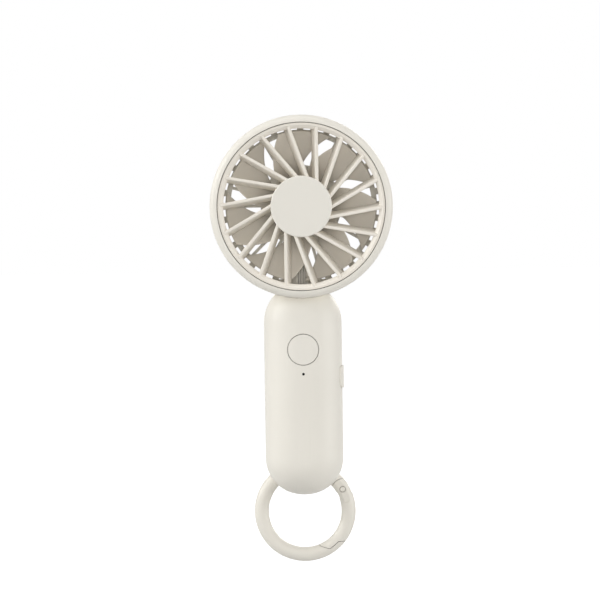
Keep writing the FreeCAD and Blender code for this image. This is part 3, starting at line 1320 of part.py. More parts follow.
def gate_space(label, gap):
    """Outline of the gate, grown by a gap, through the whole thickness of the ring."""
    deep = "2 * ring_wire"
    inner_disc = rod(label + "_disc", f"latch_radius + {gap}", f"ring_depth - {deep}", f"2 * {deep}",
                     up="-ring_height")
    inner_rod = pin_rod(label + "_inner_rod", f"latch_inner + {gap}", deep)
    inner_part = common(label + "_inner", [inner_rod, inner_disc])
    reach = fuse(label + "_reach", [inner_part, pin_rod(label + "_outer_rod", f"latch_outer + {gap}", deep)])
    return fuse(label, [
        pin_rod(label + "_ear", f"ear_radius + {gap}", deep),
        common(label + "_arm", [reach, gate_side(label + "_side")])])


tongue_base = cut("tongue_base", pin_rod("tongue_root", "ear_radius + 2 * ear_gap", "2 * ring_wire"),
                  gate_side("tongue_side"))
tongue = common("tongue", [
    round_bar("tongue_bar"),
    slab("tongue_slab", "tongue_half"),
    fuse("tongue_outline", [tongue_base, pin_rod("tongue_end", "tongue_round", "2 * ring_wire")])])
ring_open = cut("ring_open", round_bar("ring_bar"), gate_space("gate_clearance", "ear_gap"))
node(cut("ring_body_cut", fuse("ring_body_solid", [ring_open, tongue]),
         pin_rod("tongue_hole", "pin_radius + pin_play", "2 * ring_wire")), "ring_body")

SPRING_LEAN = "((pin_angle + spring_angle) / 2)"


def spring_place(distance):
    """Where a point on the spring's axis lies, at this distance from the gate's pin."""
    return (f"{PIN_X} + ({distance}) * cos({SPRING_LEAN})", f"{PIN_Z} - ({distance}) * sin({SPRING_LEAN})")


SPRING_START = "(tongue_round + pin_play)"
spring_bore = doc.addObject("Part::Cylinder", "spring_bore")
spring_bore.Placement = FreeCAD.Placement(FreeCAD.Vector(), FreeCAD.Rotation(Y_AXIS, 90 + size(SPRING_LEAN)))
bind(spring_bore, "Placement.Rotation.Angle", f"90 + {SPRING_LEAN}")
bind(spring_bore, "Radius", "spring_radius + spring_wire + spring_play")
bind(spring_bore, "Height", "spring_length + spring_wire + spring_play")
for place, text in zip("xz", spring_place(SPRING_START)):
    bind(spring_bore, f"Placement.Base.{place}", text)
bind(spring_bore, "Placement.Base.y", "ring_depth")
flats = [
    rod(f"gate_flat_{number}", "ear_radius + ring_wire / 2", start, "ring_wire", PIN_X, PIN_Z)
    for number, start in enumerate(("ring_depth + ear_flat", "ring_depth - ear_flat - ring_wire"))]
HEAD_SINK = "(ear_flat + pin_proud - pin_head_thick)"
head_seats = [
    rod(f"head_seat_{number}", "pin_head + pin_head_gap", start, "ring_wire", PIN_X, PIN_Z)
    for number, start in enumerate((f"ring_depth + {HEAD_SINK}", f"ring_depth - {HEAD_SINK} - ring_wire"))]
gate_blank = common("gate_blank", [round_bar("gate_bar"), gate_space("gate_outline", "0")])
gate_slot = common("gate_slot", [
    slab("gate_slab", "tongue_half + tongue_gap"),
    pin_rod("gate_slot_rod", "ear_radius", "2 * ring_wire")])
node(cut("ring_gate_cut", gate_blank, fuse("gate_cuts", [
    gate_slot,
    pin_rod("gate_hole", "pin_radius", "2 * ring_wire"),
    spring_bore] + flats + head_seats)), "ring_gate")
node(fuse("gate_pin_solid", [
    pin_rod("gate_pin_shank", "pin_radius", "ear_flat"),
    rod("gate_pin_back", "pin_head", f"ring_depth + {HEAD_SINK}", "pin_head_thick", PIN_X, PIN_Z),
    rod("gate_pin_front", "pin_head", f"ring_depth - {HEAD_SINK} - pin_head_thick", "pin_head_thick",
        PIN_X, PIN_Z)]), "gate_pin")


# Gate spring: one unbroken wire wound round its axis, each quarter turn a pair of tangent arcs

def coil_edges(radius, length, turns):
    """Quarter turns of a coil about Z, each made of two arcs that meet with one tangent."""
    steps = 4 * turns
    rise = length / steps
    around = math.pi / 2
    slope = FreeCAD.Vector(0, radius * around, rise).normalize()
    edges = []
    for step in range(steps):
        ends = []
        for number in (step, step + 1):
            turn_by = FreeCAD.Rotation(Z_AXIS, math.degrees(around * number))
            ends.append((turn_by.multVec(X_AXIS * radius) + Z_AXIS * rise * number, turn_by.multVec(slope)))
        (first, leaving), (last, arriving) = ends
        chord = last - first
        both = leaving + arriving
        spread = 2 * (leaving.dot(arriving) - 1)
        along = chord.dot(both)
        reach = (along - math.sqrt(along * along - spread * chord.dot(chord))) / spread
        joint = (first + last + (leaving - arriving) * reach) / 2
        halves = ((first, first + leaving * reach, joint), (joint, last - arriving * reach, last))
        for begin, corner, end in halves:
            middle = (begin + end) / 2
            half = (end - begin).Length / 2
            rise_to_corner = corner - middle
            angle = math.atan2(rise_to_corner.Length, half)
            bulge = middle + rise_to_corner.normalize() * (half * math.tan(angle / 2))
            edges.append(Part.Arc(begin, bulge, end).toShape())
    return edges


coil_path = Part.Wire(coil_edges(size("spring_radius"), size("spring_length"), int(size("spring_turns"))))
coil_start = FreeCAD.Vector(size("spring_radius"), 0, 0)
coil_section = Part.Wire(Part.makeCircle(size("spring_wire"), coil_start, Y_AXIS))
gate_spring = shaped("gate_spring_coil", coil_path.makePipeShell([coil_section], True, False))
spring_x, spring_z = spring_place(SPRING_START)
gate_spring.Placement = FreeCAD.Placement(
    FreeCAD.Vector(size(spring_x), size("ring_depth"), size(spring_z)),
    FreeCAD.Rotation(Y_AXIS, 90 + size(SPRING_LEAN)))
node(gate_spring, "gate_spring")

# Nothing is written unless every object and every sub-part's solid is sound
doc.recompute()
faults = [thing.Label for thing in doc.Objects if "Invalid" in thing.State or "Error" in thing.State]
for piece in NODES:
    if piece.Shape.isNull() or not piece.Shape.isValid() or not piece.Shape.Solids:
        faults.append(piece.Label)
if faults:
    raise RuntimeError("unsound: " + ", ".join(faults))

os.makedirs("parts", exist_ok=True)
for piece in NODES:
    piece.Shape.exportStep(f"parts/{piece.Label}.step")
    print(f"{piece.Label}: {len(piece.Shape.Solids)} solid(s), {piece.Shape.Volume:.1f} mm3")
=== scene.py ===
import math

import bpy
from mathutils import Matrix, Vector


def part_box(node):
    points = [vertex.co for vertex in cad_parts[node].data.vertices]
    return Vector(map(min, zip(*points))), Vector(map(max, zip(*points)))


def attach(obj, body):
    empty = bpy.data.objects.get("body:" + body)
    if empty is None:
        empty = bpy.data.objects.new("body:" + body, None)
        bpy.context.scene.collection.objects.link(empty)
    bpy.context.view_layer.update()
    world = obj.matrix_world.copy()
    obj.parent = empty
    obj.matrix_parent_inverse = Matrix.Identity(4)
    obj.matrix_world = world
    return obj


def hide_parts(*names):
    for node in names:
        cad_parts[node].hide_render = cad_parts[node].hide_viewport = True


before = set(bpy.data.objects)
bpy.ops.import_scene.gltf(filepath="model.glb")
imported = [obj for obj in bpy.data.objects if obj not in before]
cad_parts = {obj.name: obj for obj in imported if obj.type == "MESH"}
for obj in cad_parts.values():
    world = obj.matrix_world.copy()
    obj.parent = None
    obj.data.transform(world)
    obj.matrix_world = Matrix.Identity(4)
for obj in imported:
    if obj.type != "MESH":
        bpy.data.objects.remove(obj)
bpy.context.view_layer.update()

# Viewpoint
# The fan stands upright before the camera, which looks a little down on it from the front. The lens is
# long, as for a catalogue picture, and the camera leans by a fraction of a degree.
CAMERA_PLACE = Vector((-0.00113, -1.6, 0.1088))
CAMERA_AIM = Vector((-0.00113, 0.0, 0.0442))
CAMERA_LEAN = math.radians(-0.77)
lens = bpy.data.cameras.new("camera")
lens.sensor_width = 36.0
lens.lens = 208.7
lens.clip_start = 0.1
lens.clip_end = 20.0
camera = bpy.data.objects.new("camera", lens)
bpy.context.scene.collection.objects.link(camera)
gaze = (CAMERA_AIM - CAMERA_PLACE).to_track_quat("-Z", "Y").to_matrix().to_4x4()
camera.matrix_world = Matrix.Translation(CAMERA_PLACE) @ gaze @ Matrix.Rotation(CAMERA_LEAN, 4, "Z")
bpy.context.scene.camera = camera
bpy.context.scene.view_settings.view_transform = "Standard"

# Studio light and floor
# Soft lamps: strong ones at the left and straight in front, weaker ones above, behind and at the right. The
# pale floor and the surroundings are plain white to the eye and dimmer as light.
FAN_MIDDLE = Vector((0.0, 0.0, 0.03))
WHITE = (1.0, 1.0, 1.0, 1.0)
SKY_AS_LIGHT = 0.37
FLOOR_LEVEL = -0.2
FLOOR_HALF = 8.0
FLOOR_GREY = (0.5, 0.5, 0.5, 1.0)
FLOOR_GLOW = 0.84


def new_material(name):
    material = bpy.data.materials.new(name)
    material.use_nodes = True
    material.node_tree.nodes.clear()
    return material, material.node_tree.nodes, material.node_tree.links


def put(links, socket, value):
    """Joins an output to the socket, or sets the socket to a plain value."""
    if isinstance(value, bpy.types.NodeSocket):
        links.new(value, socket)
    else:
        socket.default_value = value


def combined(nodes, links, operation, first, second, kind="ShaderNodeMath"):
    """What a Math or Vector Math node makes of two values."""
    node = nodes.new(kind)
    node.operation = operation
    put(links, node.inputs[0], first)
    put(links, node.inputs[1], second)
    return node.outputs[0]


def seen_directly(nodes, links):
    """One for what the eye sees straight, in a mirror or through glass, and nought for light that spreads."""
    path = nodes.new("ShaderNodeLightPath").outputs
    mirrored = combined(nodes, links, "MAXIMUM", path["Is Camera Ray"], path["Is Glossy Ray"])
    return combined(nodes, links, "MAXIMUM", mirrored, path["Is Transmission Ray"])


def lamp(name, place, size, power):
    """A round lamp, turned to the middle of the fan."""
    light = bpy.data.lights.new(name, "AREA")
    light.shape = "DISK"
    light.size = size
    light.energy = power
    holder = bpy.data.objects.new(name, light)
    bpy.context.scene.collection.objects.link(holder)
    towards = FAN_MIDDLE - Vector(place)
    holder.matrix_world = Matrix.Translation(place) @ towards.to_track_quat("-Z", "Y").to_matrix().to_4x4()
    return holder


lamp("side_lamp", (-1.6, -0.35, 0.7), 1.0, 15.4)
lamp("front_lamp", (-0.02, -2.4, 0.16), 0.4, 15.6).visible_glossy = False
lamp("top_lamp", (-0.1, -0.5, 1.7), 0.9, 4.7)
lamp("back_lamp", (0.9, 1.9, 0.9), 1.2, 14.0)
lamp("fill_lamp", (1.6, -0.5, 0.2), 1.2, 10.0)

world = bpy.data.worlds.new("studio")
world.use_nodes = True
bpy.context.scene.world = world
nodes, links = world.node_tree.nodes, world.node_tree.links
level = nodes.new("ShaderNodeMapRange")
level.inputs["To Min"].default_value = SKY_AS_LIGHT
level.inputs["To Max"].default_value = 1.0
links.new(seen_directly(nodes, links), level.inputs["Value"])
nodes["Background"].inputs["Color"].default_value = WHITE
links.new(level.outputs["Result"], nodes["Background"].inputs["Strength"])

floor_sheet = bpy.data.meshes.new("floor")
floor_sheet.from_pydata(
    [(x * FLOOR_HALF, y * FLOOR_HALF, FLOOR_LEVEL) for x, y in ((-1, -1), (1, -1), (1, 1), (-1, 1))],
    [],
    [(0, 1, 2, 3)],
)
floor = bpy.data.objects.new("floor", floor_sheet)
bpy.context.scene.collection.objects.link(floor)
paper, nodes, links = new_material("floor paper")
diffuse = nodes.new("ShaderNodeBsdfDiffuse")
diffuse.inputs["Color"].default_value = FLOOR_GREY
glow = nodes.new("ShaderNodeEmission")
glow.inputs["Color"].default_value = WHITE
strength = combined(nodes, links, "MULTIPLY", seen_directly(nodes, links), FLOOR_GLOW)
links.new(strength, glow.inputs["Strength"])
both = nodes.new("ShaderNodeAddShader")
links.new(diffuse.outputs[0], both.inputs[0])
links.new(glow.outputs[0], both.inputs[1])
output = nodes.new("ShaderNodeOutputMaterial")
links.new(both.outputs[0], output.inputs["Surface"])
floor_sheet.materials.append(paper)

# Front and back shells
# Two injection mouldings in warm white ABS with a fine spark-eroded satin, closed by four screws from the
# back. The gloss drifts slowly where the plastic flowed, and painted shade darkens the seams and narrow
# hollows.
WARM_WHITE = (0.845, 0.812, 0.735)
WARM_WHITE_FLOW = (0.828, 0.795, 0.717)
# Painted shade: the colour laid into seams and narrow hollows, and how far the occlusion looks for them.
PAINTED_SEAM_SHADE = (0.22, 0.2, 0.17)
PAINTED_SHADE_REACH = 0.0005
SOFT_EDGE = 0.00015
FLOW_SCALE = 45.0
HANDLING_SCALE = 240.0
SATIN_SCALE = 6000.0
SATIN_RELIEF = 0.000012
CLOSED_IN = 0.1
OPEN_AIR = 0.65
PLASTIC = {"IOR": 1.5, "Specular IOR Level": 0.5}


def group_of(name, inputs, outputs):
    """An empty shader group with named inputs and outputs, and the nodes that stand for them."""
    group = bpy.data.node_groups.new(name, "ShaderNodeTree")
    for title, kind, value in inputs:
        group.interface.new_socket(title, in_out="INPUT", socket_type=kind).default_value = value
    for title, kind in outputs:
        group.interface.new_socket(title, in_out="OUTPUT", socket_type=kind)
    return group, group.nodes.new("NodeGroupInput"), group.nodes.new("NodeGroupOutput")


def noise(nodes, links, place, scale, detail):
    """Even noise over a piece, so many times finer than a metre."""
    grains = nodes.new("ShaderNodeTexNoise")
    grains.inputs["Detail"].default_value = detail
    put(links, grains.inputs["Scale"], scale)
    links.new(place, grains.inputs["Vector"])
    return grains.outputs["Fac"]


def spread(nodes, links, value, low, high, start=0.3, end=0.7, way="LINEAR"):
    """The value, with start to end drawn out to the range from low to high. Noise lies within 0.3 to 0.7."""
    ranged = nodes.new("ShaderNodeMapRange")
    ranged.interpolation_type = way
    bounds = {"Value": value, "From Min": start, "From Max": end, "To Min": low, "To Max": high}
    for title, bound in bounds.items():
        put(links, ranged.inputs[title], bound)
    return ranged.outputs["Result"]


def shaded(nodes, links, colour, other, share):
    """The first colour, with a share of the other."""
    mixed = nodes.new("ShaderNodeMix")
    mixed.data_type = "RGBA"
    links.new(share, mixed.inputs["Factor"])
    ends = [socket for socket in mixed.inputs if socket.type == "RGBA"]
    put(links, ends[0], colour)
    put(links, ends[1], other)
    return [socket for socket in mixed.outputs if socket.type == "RGBA"][0]


moulded_satin, given, made = group_of(
    "Moulded satin",
    [
        ("Colour", "NodeSocketColor", (*WARM_WHITE, 1.0)),
        ("Flow colour", "NodeSocketColor", (*WARM_WHITE_FLOW, 1.0)),
        ("Painted shade colour", "NodeSocketColor", (*PAINTED_SEAM_SHADE, 1.0)),
        ("Painted shade reach", "NodeSocketFloat", PAINTED_SHADE_REACH),
        ("Painted shade share", "NodeSocketFloat", 1.0),
        ("Soft edge", "NodeSocketFloat", SOFT_EDGE),
        ("Grain", "NodeSocketFloat", SATIN_SCALE),
        ("Smooth", "NodeSocketFloat", 0.4),
        ("Rough", "NodeSocketFloat", 0.5),
    ],
    [
        ("Colour", "NodeSocketColor"),
        ("Roughness", "NodeSocketFloat"),
        ("Height", "NodeSocketFloat"),
        ("Normal", "NodeSocketVector"),
    ],
)
nodes, links = moulded_satin.nodes, moulded_satin.links
place = nodes.new("ShaderNodeTexCoord").outputs["Object"]
flow = noise(nodes, links, place, FLOW_SCALE, 3.0)
handling = noise(nodes, links, place, HANDLING_SCALE, 4.0)
grain = noise(nodes, links, place, given.outputs["Grain"], 2.0)
tone = spread(nodes, links, flow, 0.0, 1.0)
clean = shaded(nodes, links, given.outputs["Colour"], given.outputs["Flow colour"], tone)
# Painted shade: where ambient occlusion finds a seam, gap or narrow hollow, the colour darkens towards the
# shade colour.
occlusion = nodes.new("ShaderNodeAmbientOcclusion")
occlusion.samples = 8
links.new(given.outputs["Painted shade reach"], occlusion.inputs["Distance"])
painted_shade = spread(nodes, links, occlusion.outputs["AO"], 1.0, 0.0, CLOSED_IN, OPEN_AIR, "SMOOTHSTEP")
painted_shade = combined(nodes, links, "MULTIPLY", painted_shade, given.outputs["Painted shade share"])
with_painted_shade = shaded(nodes, links, clean, given.outputs["Painted shade colour"], painted_shade)
gloss = spread(nodes, links, handling, given.outputs["Smooth"], given.outputs["Rough"])
soft = nodes.new("ShaderNodeBevel")
soft.samples = 4
links.new(given.outputs["Soft edge"], soft.inputs["Radius"])
links.new(with_painted_shade, made.inputs["Colour"])
links.new(gloss, made.inputs["Roughness"])
links.new(grain, made.inputs["Height"])
links.new(soft.outputs["Normal"], made.inputs["Normal"])


def surfaced(name, group, look, principled, relief):
    """A material whose colour, roughness and relief come from a group, with plain values on the shader."""
    material, nodes, links = new_material(name)
    shader = nodes.new("ShaderNodeBsdfPrincipled")
    for title, value in principled.items():
        shader.inputs[title].default_value = value
    effect = nodes.new("ShaderNodeGroup")
    effect.node_tree = group
    for title, value in look.items():
        effect.inputs[title].default_value = value
    links.new(effect.outputs["Colour"], shader.inputs["Base Color"])
    links.new(effect.outputs["Roughness"], shader.inputs["Roughness"])
    bump = nodes.new("ShaderNodeBump")
    bump.inputs["Strength"].default_value = 1.0
    bump.inputs["Distance"].default_value = relief
    links.new(effect.outputs["Height"], bump.inputs["Height"])
    if "Normal" in effect.outputs:
        links.new(effect.outputs["Normal"], bump.inputs["Normal"])
    links.new(bump.outputs["Normal"], shader.inputs["Normal"])
    out = nodes.new("ShaderNodeOutputMaterial")
    links.new(shader.outputs[0], out.inputs["Surface"])
    return material


def moulding(name, colour, flow_colour, smooth, rough, grain=SATIN_SCALE, relief=SATIN_RELIEF,
             shade_colour=PAINTED_SEAM_SHADE, shade_reach=PAINTED_SHADE_REACH):
    """A moulded plastic or rubber: two close colours, the bounds of its gloss, its grain, and the painted
    shade in its seams.
    """
    look = {
        "Colour": (*colour, 1.0),
        "Flow colour": (*flow_colour, 1.0),
        "Painted shade colour": (*shade_colour, 1.0),
        "Painted shade reach": shade_reach,
        "Grain": grain,
        "Smooth": smooth,
        "Rough": rough,
    }
    return surfaced(name, moulded_satin, look, PLASTIC, relief)


def finish(material, *names):
    """Lays a material on pieces that keep the construction's mesh."""
    for name in names:
        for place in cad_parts[name].material_slots:
            place.material = material


# The painted seam shade is left off the grip's right side from the charging cover down.
PAINTED_SHADE_WITHIN = 0.014
NO_PAINTED_SHADE_BEYOND = 0.015
NO_PAINTED_SHADE_BELOW = 0.020
PAINTED_SHADE_ABOVE = 0.022
shell_plastic = moulding("shell plastic", WARM_WHITE, WARM_WHITE_FLOW, 0.40, 0.50)
nodes, links = shell_plastic.node_tree.nodes, shell_plastic.node_tree.links
parts = nodes.new("ShaderNodeSeparateXYZ")
links.new(nodes.new("ShaderNodeTexCoord").outputs["Object"], parts.inputs[0])
inner_part = spread(nodes, links, parts.outputs["X"], 1.0, 0.0, PAINTED_SHADE_WITHIN, NO_PAINTED_SHADE_BEYOND)
upper_part = spread(nodes, links, parts.outputs["Z"], 0.0, 1.0, NO_PAINTED_SHADE_BELOW, PAINTED_SHADE_ABOVE)
links.new(combined(nodes, links, "MAXIMUM", inner_part, upper_part), nodes["Group"].inputs["Painted shade share"])
finish(shell_plastic, "front_housing", "rear_housing")

# Front grille and its cap
# One moulding of rim, eighteen swirled ribs, hub and four clips that snap behind the ledge in the lip, and a
# round cap pressed into the hub. Both are the same plastic as the shells; the cap is a little smoother.
MM = 0.001
AXIS_LEVEL = 87.5
FAN_AXIS = AXIS_LEVEL * MM
WELD_GAP = 0.002 * MM
CORNER_STEPS = 4
SHARP_FROM = math.radians(38)


class Field:
    """A value that changes over a form. Sums written with it become Math nodes of its tree."""

    def __init__(self, tree, socket):
        self.tree = tree
        self.socket = socket

    def worked(self, operation, *others):
        return step(self.tree, "ShaderNodeMath", [self, *others], operation=operation)

    def __add__(self, other):
        return self.worked("ADD", other)

    def __sub__(self, other):
        return self.worked("SUBTRACT", other)

    def __mul__(self, other):
        return self.worked("MULTIPLY", other)

    def __truediv__(self, other):
        return self.worked("DIVIDE", other)


def step(tree, kind, inputs=(), output=0, **options):
    """Adds a node, sets its options, and sets or joins its inputs, given in order or by name."""
    node = tree.nodes.new(kind)
    for title, value in options.items():
        setattr(node, title, value)
    for place, value in inputs.items() if isinstance(inputs, dict) else enumerate(inputs):
        if isinstance(value, Field):
            tree.links.new(value.socket, node.inputs[place])
        elif value is not None:
            node.inputs[place].default_value = value
    return Field(tree, node.outputs[output])


def point(tree, x=0.0, y=0.0, z=0.0):
    """A place made of three values."""
    return step(tree, "ShaderNodeCombineXYZ", [x, y, z])


def joined(tree, *forms):
    """The forms as one."""
    node = tree.nodes.new("GeometryNodeJoinGeometry")
    for form in forms:
        tree.links.new(form.socket, node.inputs[0])
    return Field(tree, node.outputs[0])


def form_tree(name, sizes):
    """A tree with one named input for each size, of the kind of its value; gives the tree and its inputs."""
    tree = bpy.data.node_groups.new(name, "GeometryNodeTree")
    tree.interface.new_socket("Outlines", in_out="INPUT", socket_type="NodeSocketGeometry")
    tree.interface.new_socket("Form", in_out="OUTPUT", socket_type="NodeSocketGeometry")
    for title, value in sizes.items():
        kind = {int: "Int", float: "Float", tuple: "Vector"}.get(type(value), "Material")
        tree.interface.new_socket(title, in_out="INPUT", socket_type="NodeSocket" + kind)
    given = tree.nodes.new("NodeGroupInput")
    return tree, {socket.name: Field(tree, socket) for socket in given.outputs if socket.name}


def ended(tree, form, material):
    """Ends a tree in plain mesh of one material."""
    whole = step(tree, "GeometryNodeRealizeInstances", [form])
    painted = step(tree, "GeometryNodeSetMaterial", {"Geometry": whole, "Material": material})
    tree.links.new(painted.socket, tree.nodes.new("NodeGroupOutput").inputs[0])


def outline_of(tree, outlines, number):
    """The outline of that number as a curve. The Compare node's sockets 2 and 3 take whole numbers."""
    own = step(tree, "GeometryNodeInputNamedAttribute", {"Name": "outline"}, data_type="INT")
    same = step(tree, "FunctionNodeCompare", {2: own, 3: number}, data_type="INT", operation="EQUAL")
    kept = step(tree, "GeometryNodeSeparateGeometry", {"Geometry": outlines, "Selection": same})
    return step(tree, "GeometryNodeMeshToCurve", {"Mesh": kept})


def rounded_off(tree, outline, radius, steps):
    """An outline with its corners rounded, each in that many steps."""
    return step(tree, "GeometryNodeFilletCurve", {
        "Curve": outline, "Count": steps, "Radius": radius, "Limit Radius": True}, mode="POLY")


def welded(tree, form):
    """A form whose seams and poles are closed."""
    return step(tree, "GeometryNodeMergeByDistance", {"Geometry": form, "Distance": WELD_GAP})


def turned(tree, outline, rounding, facets, closed):
    """An outline of radius (X) and depth (Y) with rounded corners, turned about the Y axis. Closed is 1 where
    the outline ends where it starts, and 0 where it runs from the axis to the axis."""
    rounded = rounded_off(tree, outline, rounding, CORNER_STEPS)
    corners = step(tree, "GeometryNodeAttributeDomainSize", {"Geometry": rounded}, component="CURVE")
    grid = step(tree, "GeometryNodeMeshGrid", {"Vertices X": corners + closed, "Vertices Y": facets + 1})
    index = step(tree, "GeometryNodeInputIndex")
    row = (index / (facets + 1)).worked("FLOOR")
    turn = (index - row * (facets + 1)) / facets * math.tau
    place = step(tree, "GeometryNodeInputPosition")
    on_outline = step(tree, "GeometryNodeSampleIndex", {"Geometry": rounded, "Value": place,
                      "Index": row.worked("MODULO", corners)}, data_type="FLOAT_VECTOR", domain="POINT")
    radius = step(tree, "ShaderNodeSeparateXYZ", [on_outline], 0)
    depth = step(tree, "ShaderNodeSeparateXYZ", [on_outline], 1)
    spun = point(tree, radius * turn.worked("SINE"), depth, radius * turn.worked("COSINE"))
    swept = step(tree, "GeometryNodeSetPosition", {"Geometry": grid, "Position": spun})
    return step(tree, "GeometryNodeFlipFaces", {"Mesh": welded(tree, swept)})


def ringed(tree, form, count):
    """A form set that many times about the Y axis."""
    spots = step(tree, "GeometryNodeMeshLine", {"Count": count, "Offset": (0, 0, 0)})
    angle = step(tree, "GeometryNodeInputIndex") / count * math.tau
    turn = step(tree, "FunctionNodeEulerToRotation", [point(tree, 0, angle, 0)])
    return step(tree, "GeometryNodeInstanceOnPoints", {"Points": spots, "Instance": form, "Rotation": turn})


def formed(name, tree, outlines, sizes, body, slot, *nodes_replaced):
    """Lays outlines under a tree and keeps the result as a mesh that stands for pieces of the construction.
    Each outline has points of two or three sides in millimetres, and whether it is closed."""
    points, edges, numbers = [], [], []
    for number, (outline, closed) in enumerate(outlines):
        first = len(points)
        points += [[side * MM for side in (*place, 0)[:3]] for place in outline]
        edges += [(k, k + 1) for k in range(first, len(points) - 1)]
        edges += [(len(points) - 1, first)] if closed else []
        numbers += [number] * len(outline)
    sheet = bpy.data.meshes.new(name)
    sheet.from_pydata(points, edges, [])
    sheet.attributes.new("outline", "INT", "POINT").data.foreach_set("value", numbers)
    piece = bpy.data.objects.new(name, sheet)
    bpy.context.scene.collection.objects.link(piece)
    modifier = piece.modifiers.new("form", "NODES")
    modifier.node_group = tree
    for socket in tree.interface.items_tree:
        if socket.name in sizes:
            modifier[socket.identifier] = sizes[socket.name]
    plain = bpy.data.meshes.new_from_object(piece.evaluated_get(bpy.context.evaluated_depsgraph_get()))
    piece.modifiers.remove(modifier)
    piece.data = plain
    plain.shade_smooth()
    plain.set_sharp_from_angle(angle=SHARP_FROM)
    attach(piece, body)
    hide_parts(*nodes_replaced)


def raised(tree, form, given):
    """Ends a tree whose form stands round the origin, lifted to the fan's axis."""
    lifted = {"Geometry": form, "Translation": point(tree, z=given["Axis height"])}
    ended(tree, step(tree, "GeometryNodeTransform", lifted), given["Material"])


GRILLE_WHITE = (0.865, 0.815, 0.727)
GRILLE_WHITE_FLOW = (0.855, 0.805, 0.717)
grille_plastic = moulding("grille plastic", GRILLE_WHITE, GRILLE_WHITE_FLOW, 0.38, 0.48)
RIM_OUTLINE = ((35.45, -17.7), (37.1, -19.2), (38.2, -19.2), (38.2, -12.2), (35.65, -12.2))
HUB_OUTLINE = ((0, -14.4), (11.8, -14.4), (11.8, -17.9), (13.2, -17.9), (13.2, -13), (0, -13))
CLIP_OUTLINE = (
    (35.65, -12.4), (36.45, -12.4), (36.45, -10.65), (37.25, -10.65), (37.25, -9.85), (35.65, -9.05)
)
grille_sizes = {
    "Facets": 144,
    "Corner": 0.3 * MM,
    "Ribs": 18,
    "Rib offset": 7.46 * MM,
    "Rib slant": 1.9 * MM,
    "Rib start": 9.43 * MM,
    "Rib end": 36.06 * MM,
    "Rib half width": 0.75 * MM,
    "Rib front": -19.0 * MM,
    "Rib back": -13.0 * MM,
    "Rib rounding": 0.45 * MM,
    "Rib rounding steps": 5,
    "Clips": 4,
    "Clip width": 4.0 * MM,
    "Axis height": FAN_AXIS,
    "Material": grille_plastic,
}
grille_tree, given = form_tree("Front grille", grille_sizes)
rim = turned(grille_tree, outline_of(grille_tree, given["Outlines"], 0), given["Corner"], given["Facets"], 1)
hub = turned(grille_tree, outline_of(grille_tree, given["Outlines"], 1), given["Corner"], given["Facets"], 0)
near = given["Rib offset"] - given["Rib half width"]
far = given["Rib offset"] + given["Rib half width"]
section = step(grille_tree, "GeometryNodeCurvePrimitiveQuadrilateral", {
    "Point 1": point(grille_tree, near, given["Rib front"]),
    "Point 2": point(grille_tree, far, given["Rib front"]),
    "Point 3": point(grille_tree, far - given["Rib slant"], given["Rib back"]),
    "Point 4": point(grille_tree, near - given["Rib slant"], given["Rib back"]),
}, mode="POINTS")
section = rounded_off(grille_tree, section, given["Rib rounding"], given["Rib rounding steps"])
run = step(grille_tree, "GeometryNodeCurvePrimitiveLine", {
    "Start": point(grille_tree, z=given["Rib start"]), "End": point(grille_tree, z=given["Rib end"])})
rib = step(grille_tree, "GeometryNodeCurveToMesh", {
    "Curve": run, "Profile Curve": section, "Fill Caps": True})
clip_face = step(grille_tree, "GeometryNodeFillCurve", {
    "Curve": outline_of(grille_tree, given["Outlines"], 2)}, mode="NGONS")
clip_side = step(grille_tree, "GeometryNodeExtrudeMesh", {
    "Mesh": clip_face, "Offset": (0, 0, 1), "Offset Scale": given["Clip width"], "Individual": False})
clip_foot = step(grille_tree, "GeometryNodeFlipFaces", {"Mesh": clip_face})
clip = step(grille_tree, "GeometryNodeTransform", {
    "Geometry": welded(grille_tree, joined(grille_tree, clip_foot, clip_side)),
    "Translation": point(grille_tree, z=given["Clip width"] * -0.5)})
ribs = ringed(grille_tree, rib, given["Ribs"])
clips = ringed(grille_tree, clip, given["Clips"])
raised(grille_tree, joined(grille_tree, rim, hub, ribs, clips), given)
formed(
    "swirl_grille",
    grille_tree,
    ((RIM_OUTLINE, True), (HUB_OUTLINE, False), (CLIP_OUTLINE, True)),
    grille_sizes,
    "housing",
    "grille",
    "front_grille",
)
cap_plastic = moulding("cap plastic", (0.835, 0.805, 0.732), (0.825, 0.795, 0.722), 0.34, 0.42)
finish(cap_plastic, "grille_cap")

# Impeller
# Seven wide swept blades on one hub, moulded in the same warm white, pressed over the steel cup of the motor.
# Each blade is a thin web with round edges that winds round the axis. Its colour is painted darker and warmer
# than the shells' as shade deep in the head, and painted shade darkens the blades' roots further.
# Painted shade: the blades turn darker towards the hub, fully so within 13 mm of the axis.
ROOT_PAINTED_SHADE = (0.43, 0.39, 0.33, 1.0)
FULL_SHADE_TO = 13.0 * MM
NO_SHADE_FROM = 24.0 * MM
# The base colour is the shells' warm white painted down as shade.
shaded_impeller_plastic = moulding("shaded impeller plastic", (0.755, 0.705, 0.619), (0.735, 0.685, 0.599), 0.36, 0.46)
nodes, links = shaded_impeller_plastic.node_tree.nodes, shaded_impeller_plastic.node_tree.links
place = nodes.new("ShaderNodeTexCoord").outputs["Object"]
from_axis = combined(nodes, links, "SUBTRACT", place, (0.0, 0.0, FAN_AXIS), "ShaderNodeVectorMath")
flat = combined(nodes, links, "MULTIPLY", from_axis, (1.0, 0.0, 1.0), "ShaderNodeVectorMath")
reach = nodes.new("ShaderNodeVectorMath")
reach.operation = "LENGTH"
links.new(flat, reach.inputs[0])
root_shade = spread(nodes, links, reach.outputs["Value"], 1.0, 0.0, FULL_SHADE_TO, NO_SHADE_FROM, "SMOOTHSTEP")
web_colour = nodes["Group"].outputs["Colour"]
links.new(shaded(nodes, links, web_colour, ROOT_PAINTED_SHADE, root_shade), nodes["Principled BSDF"].inputs["Base Color"])
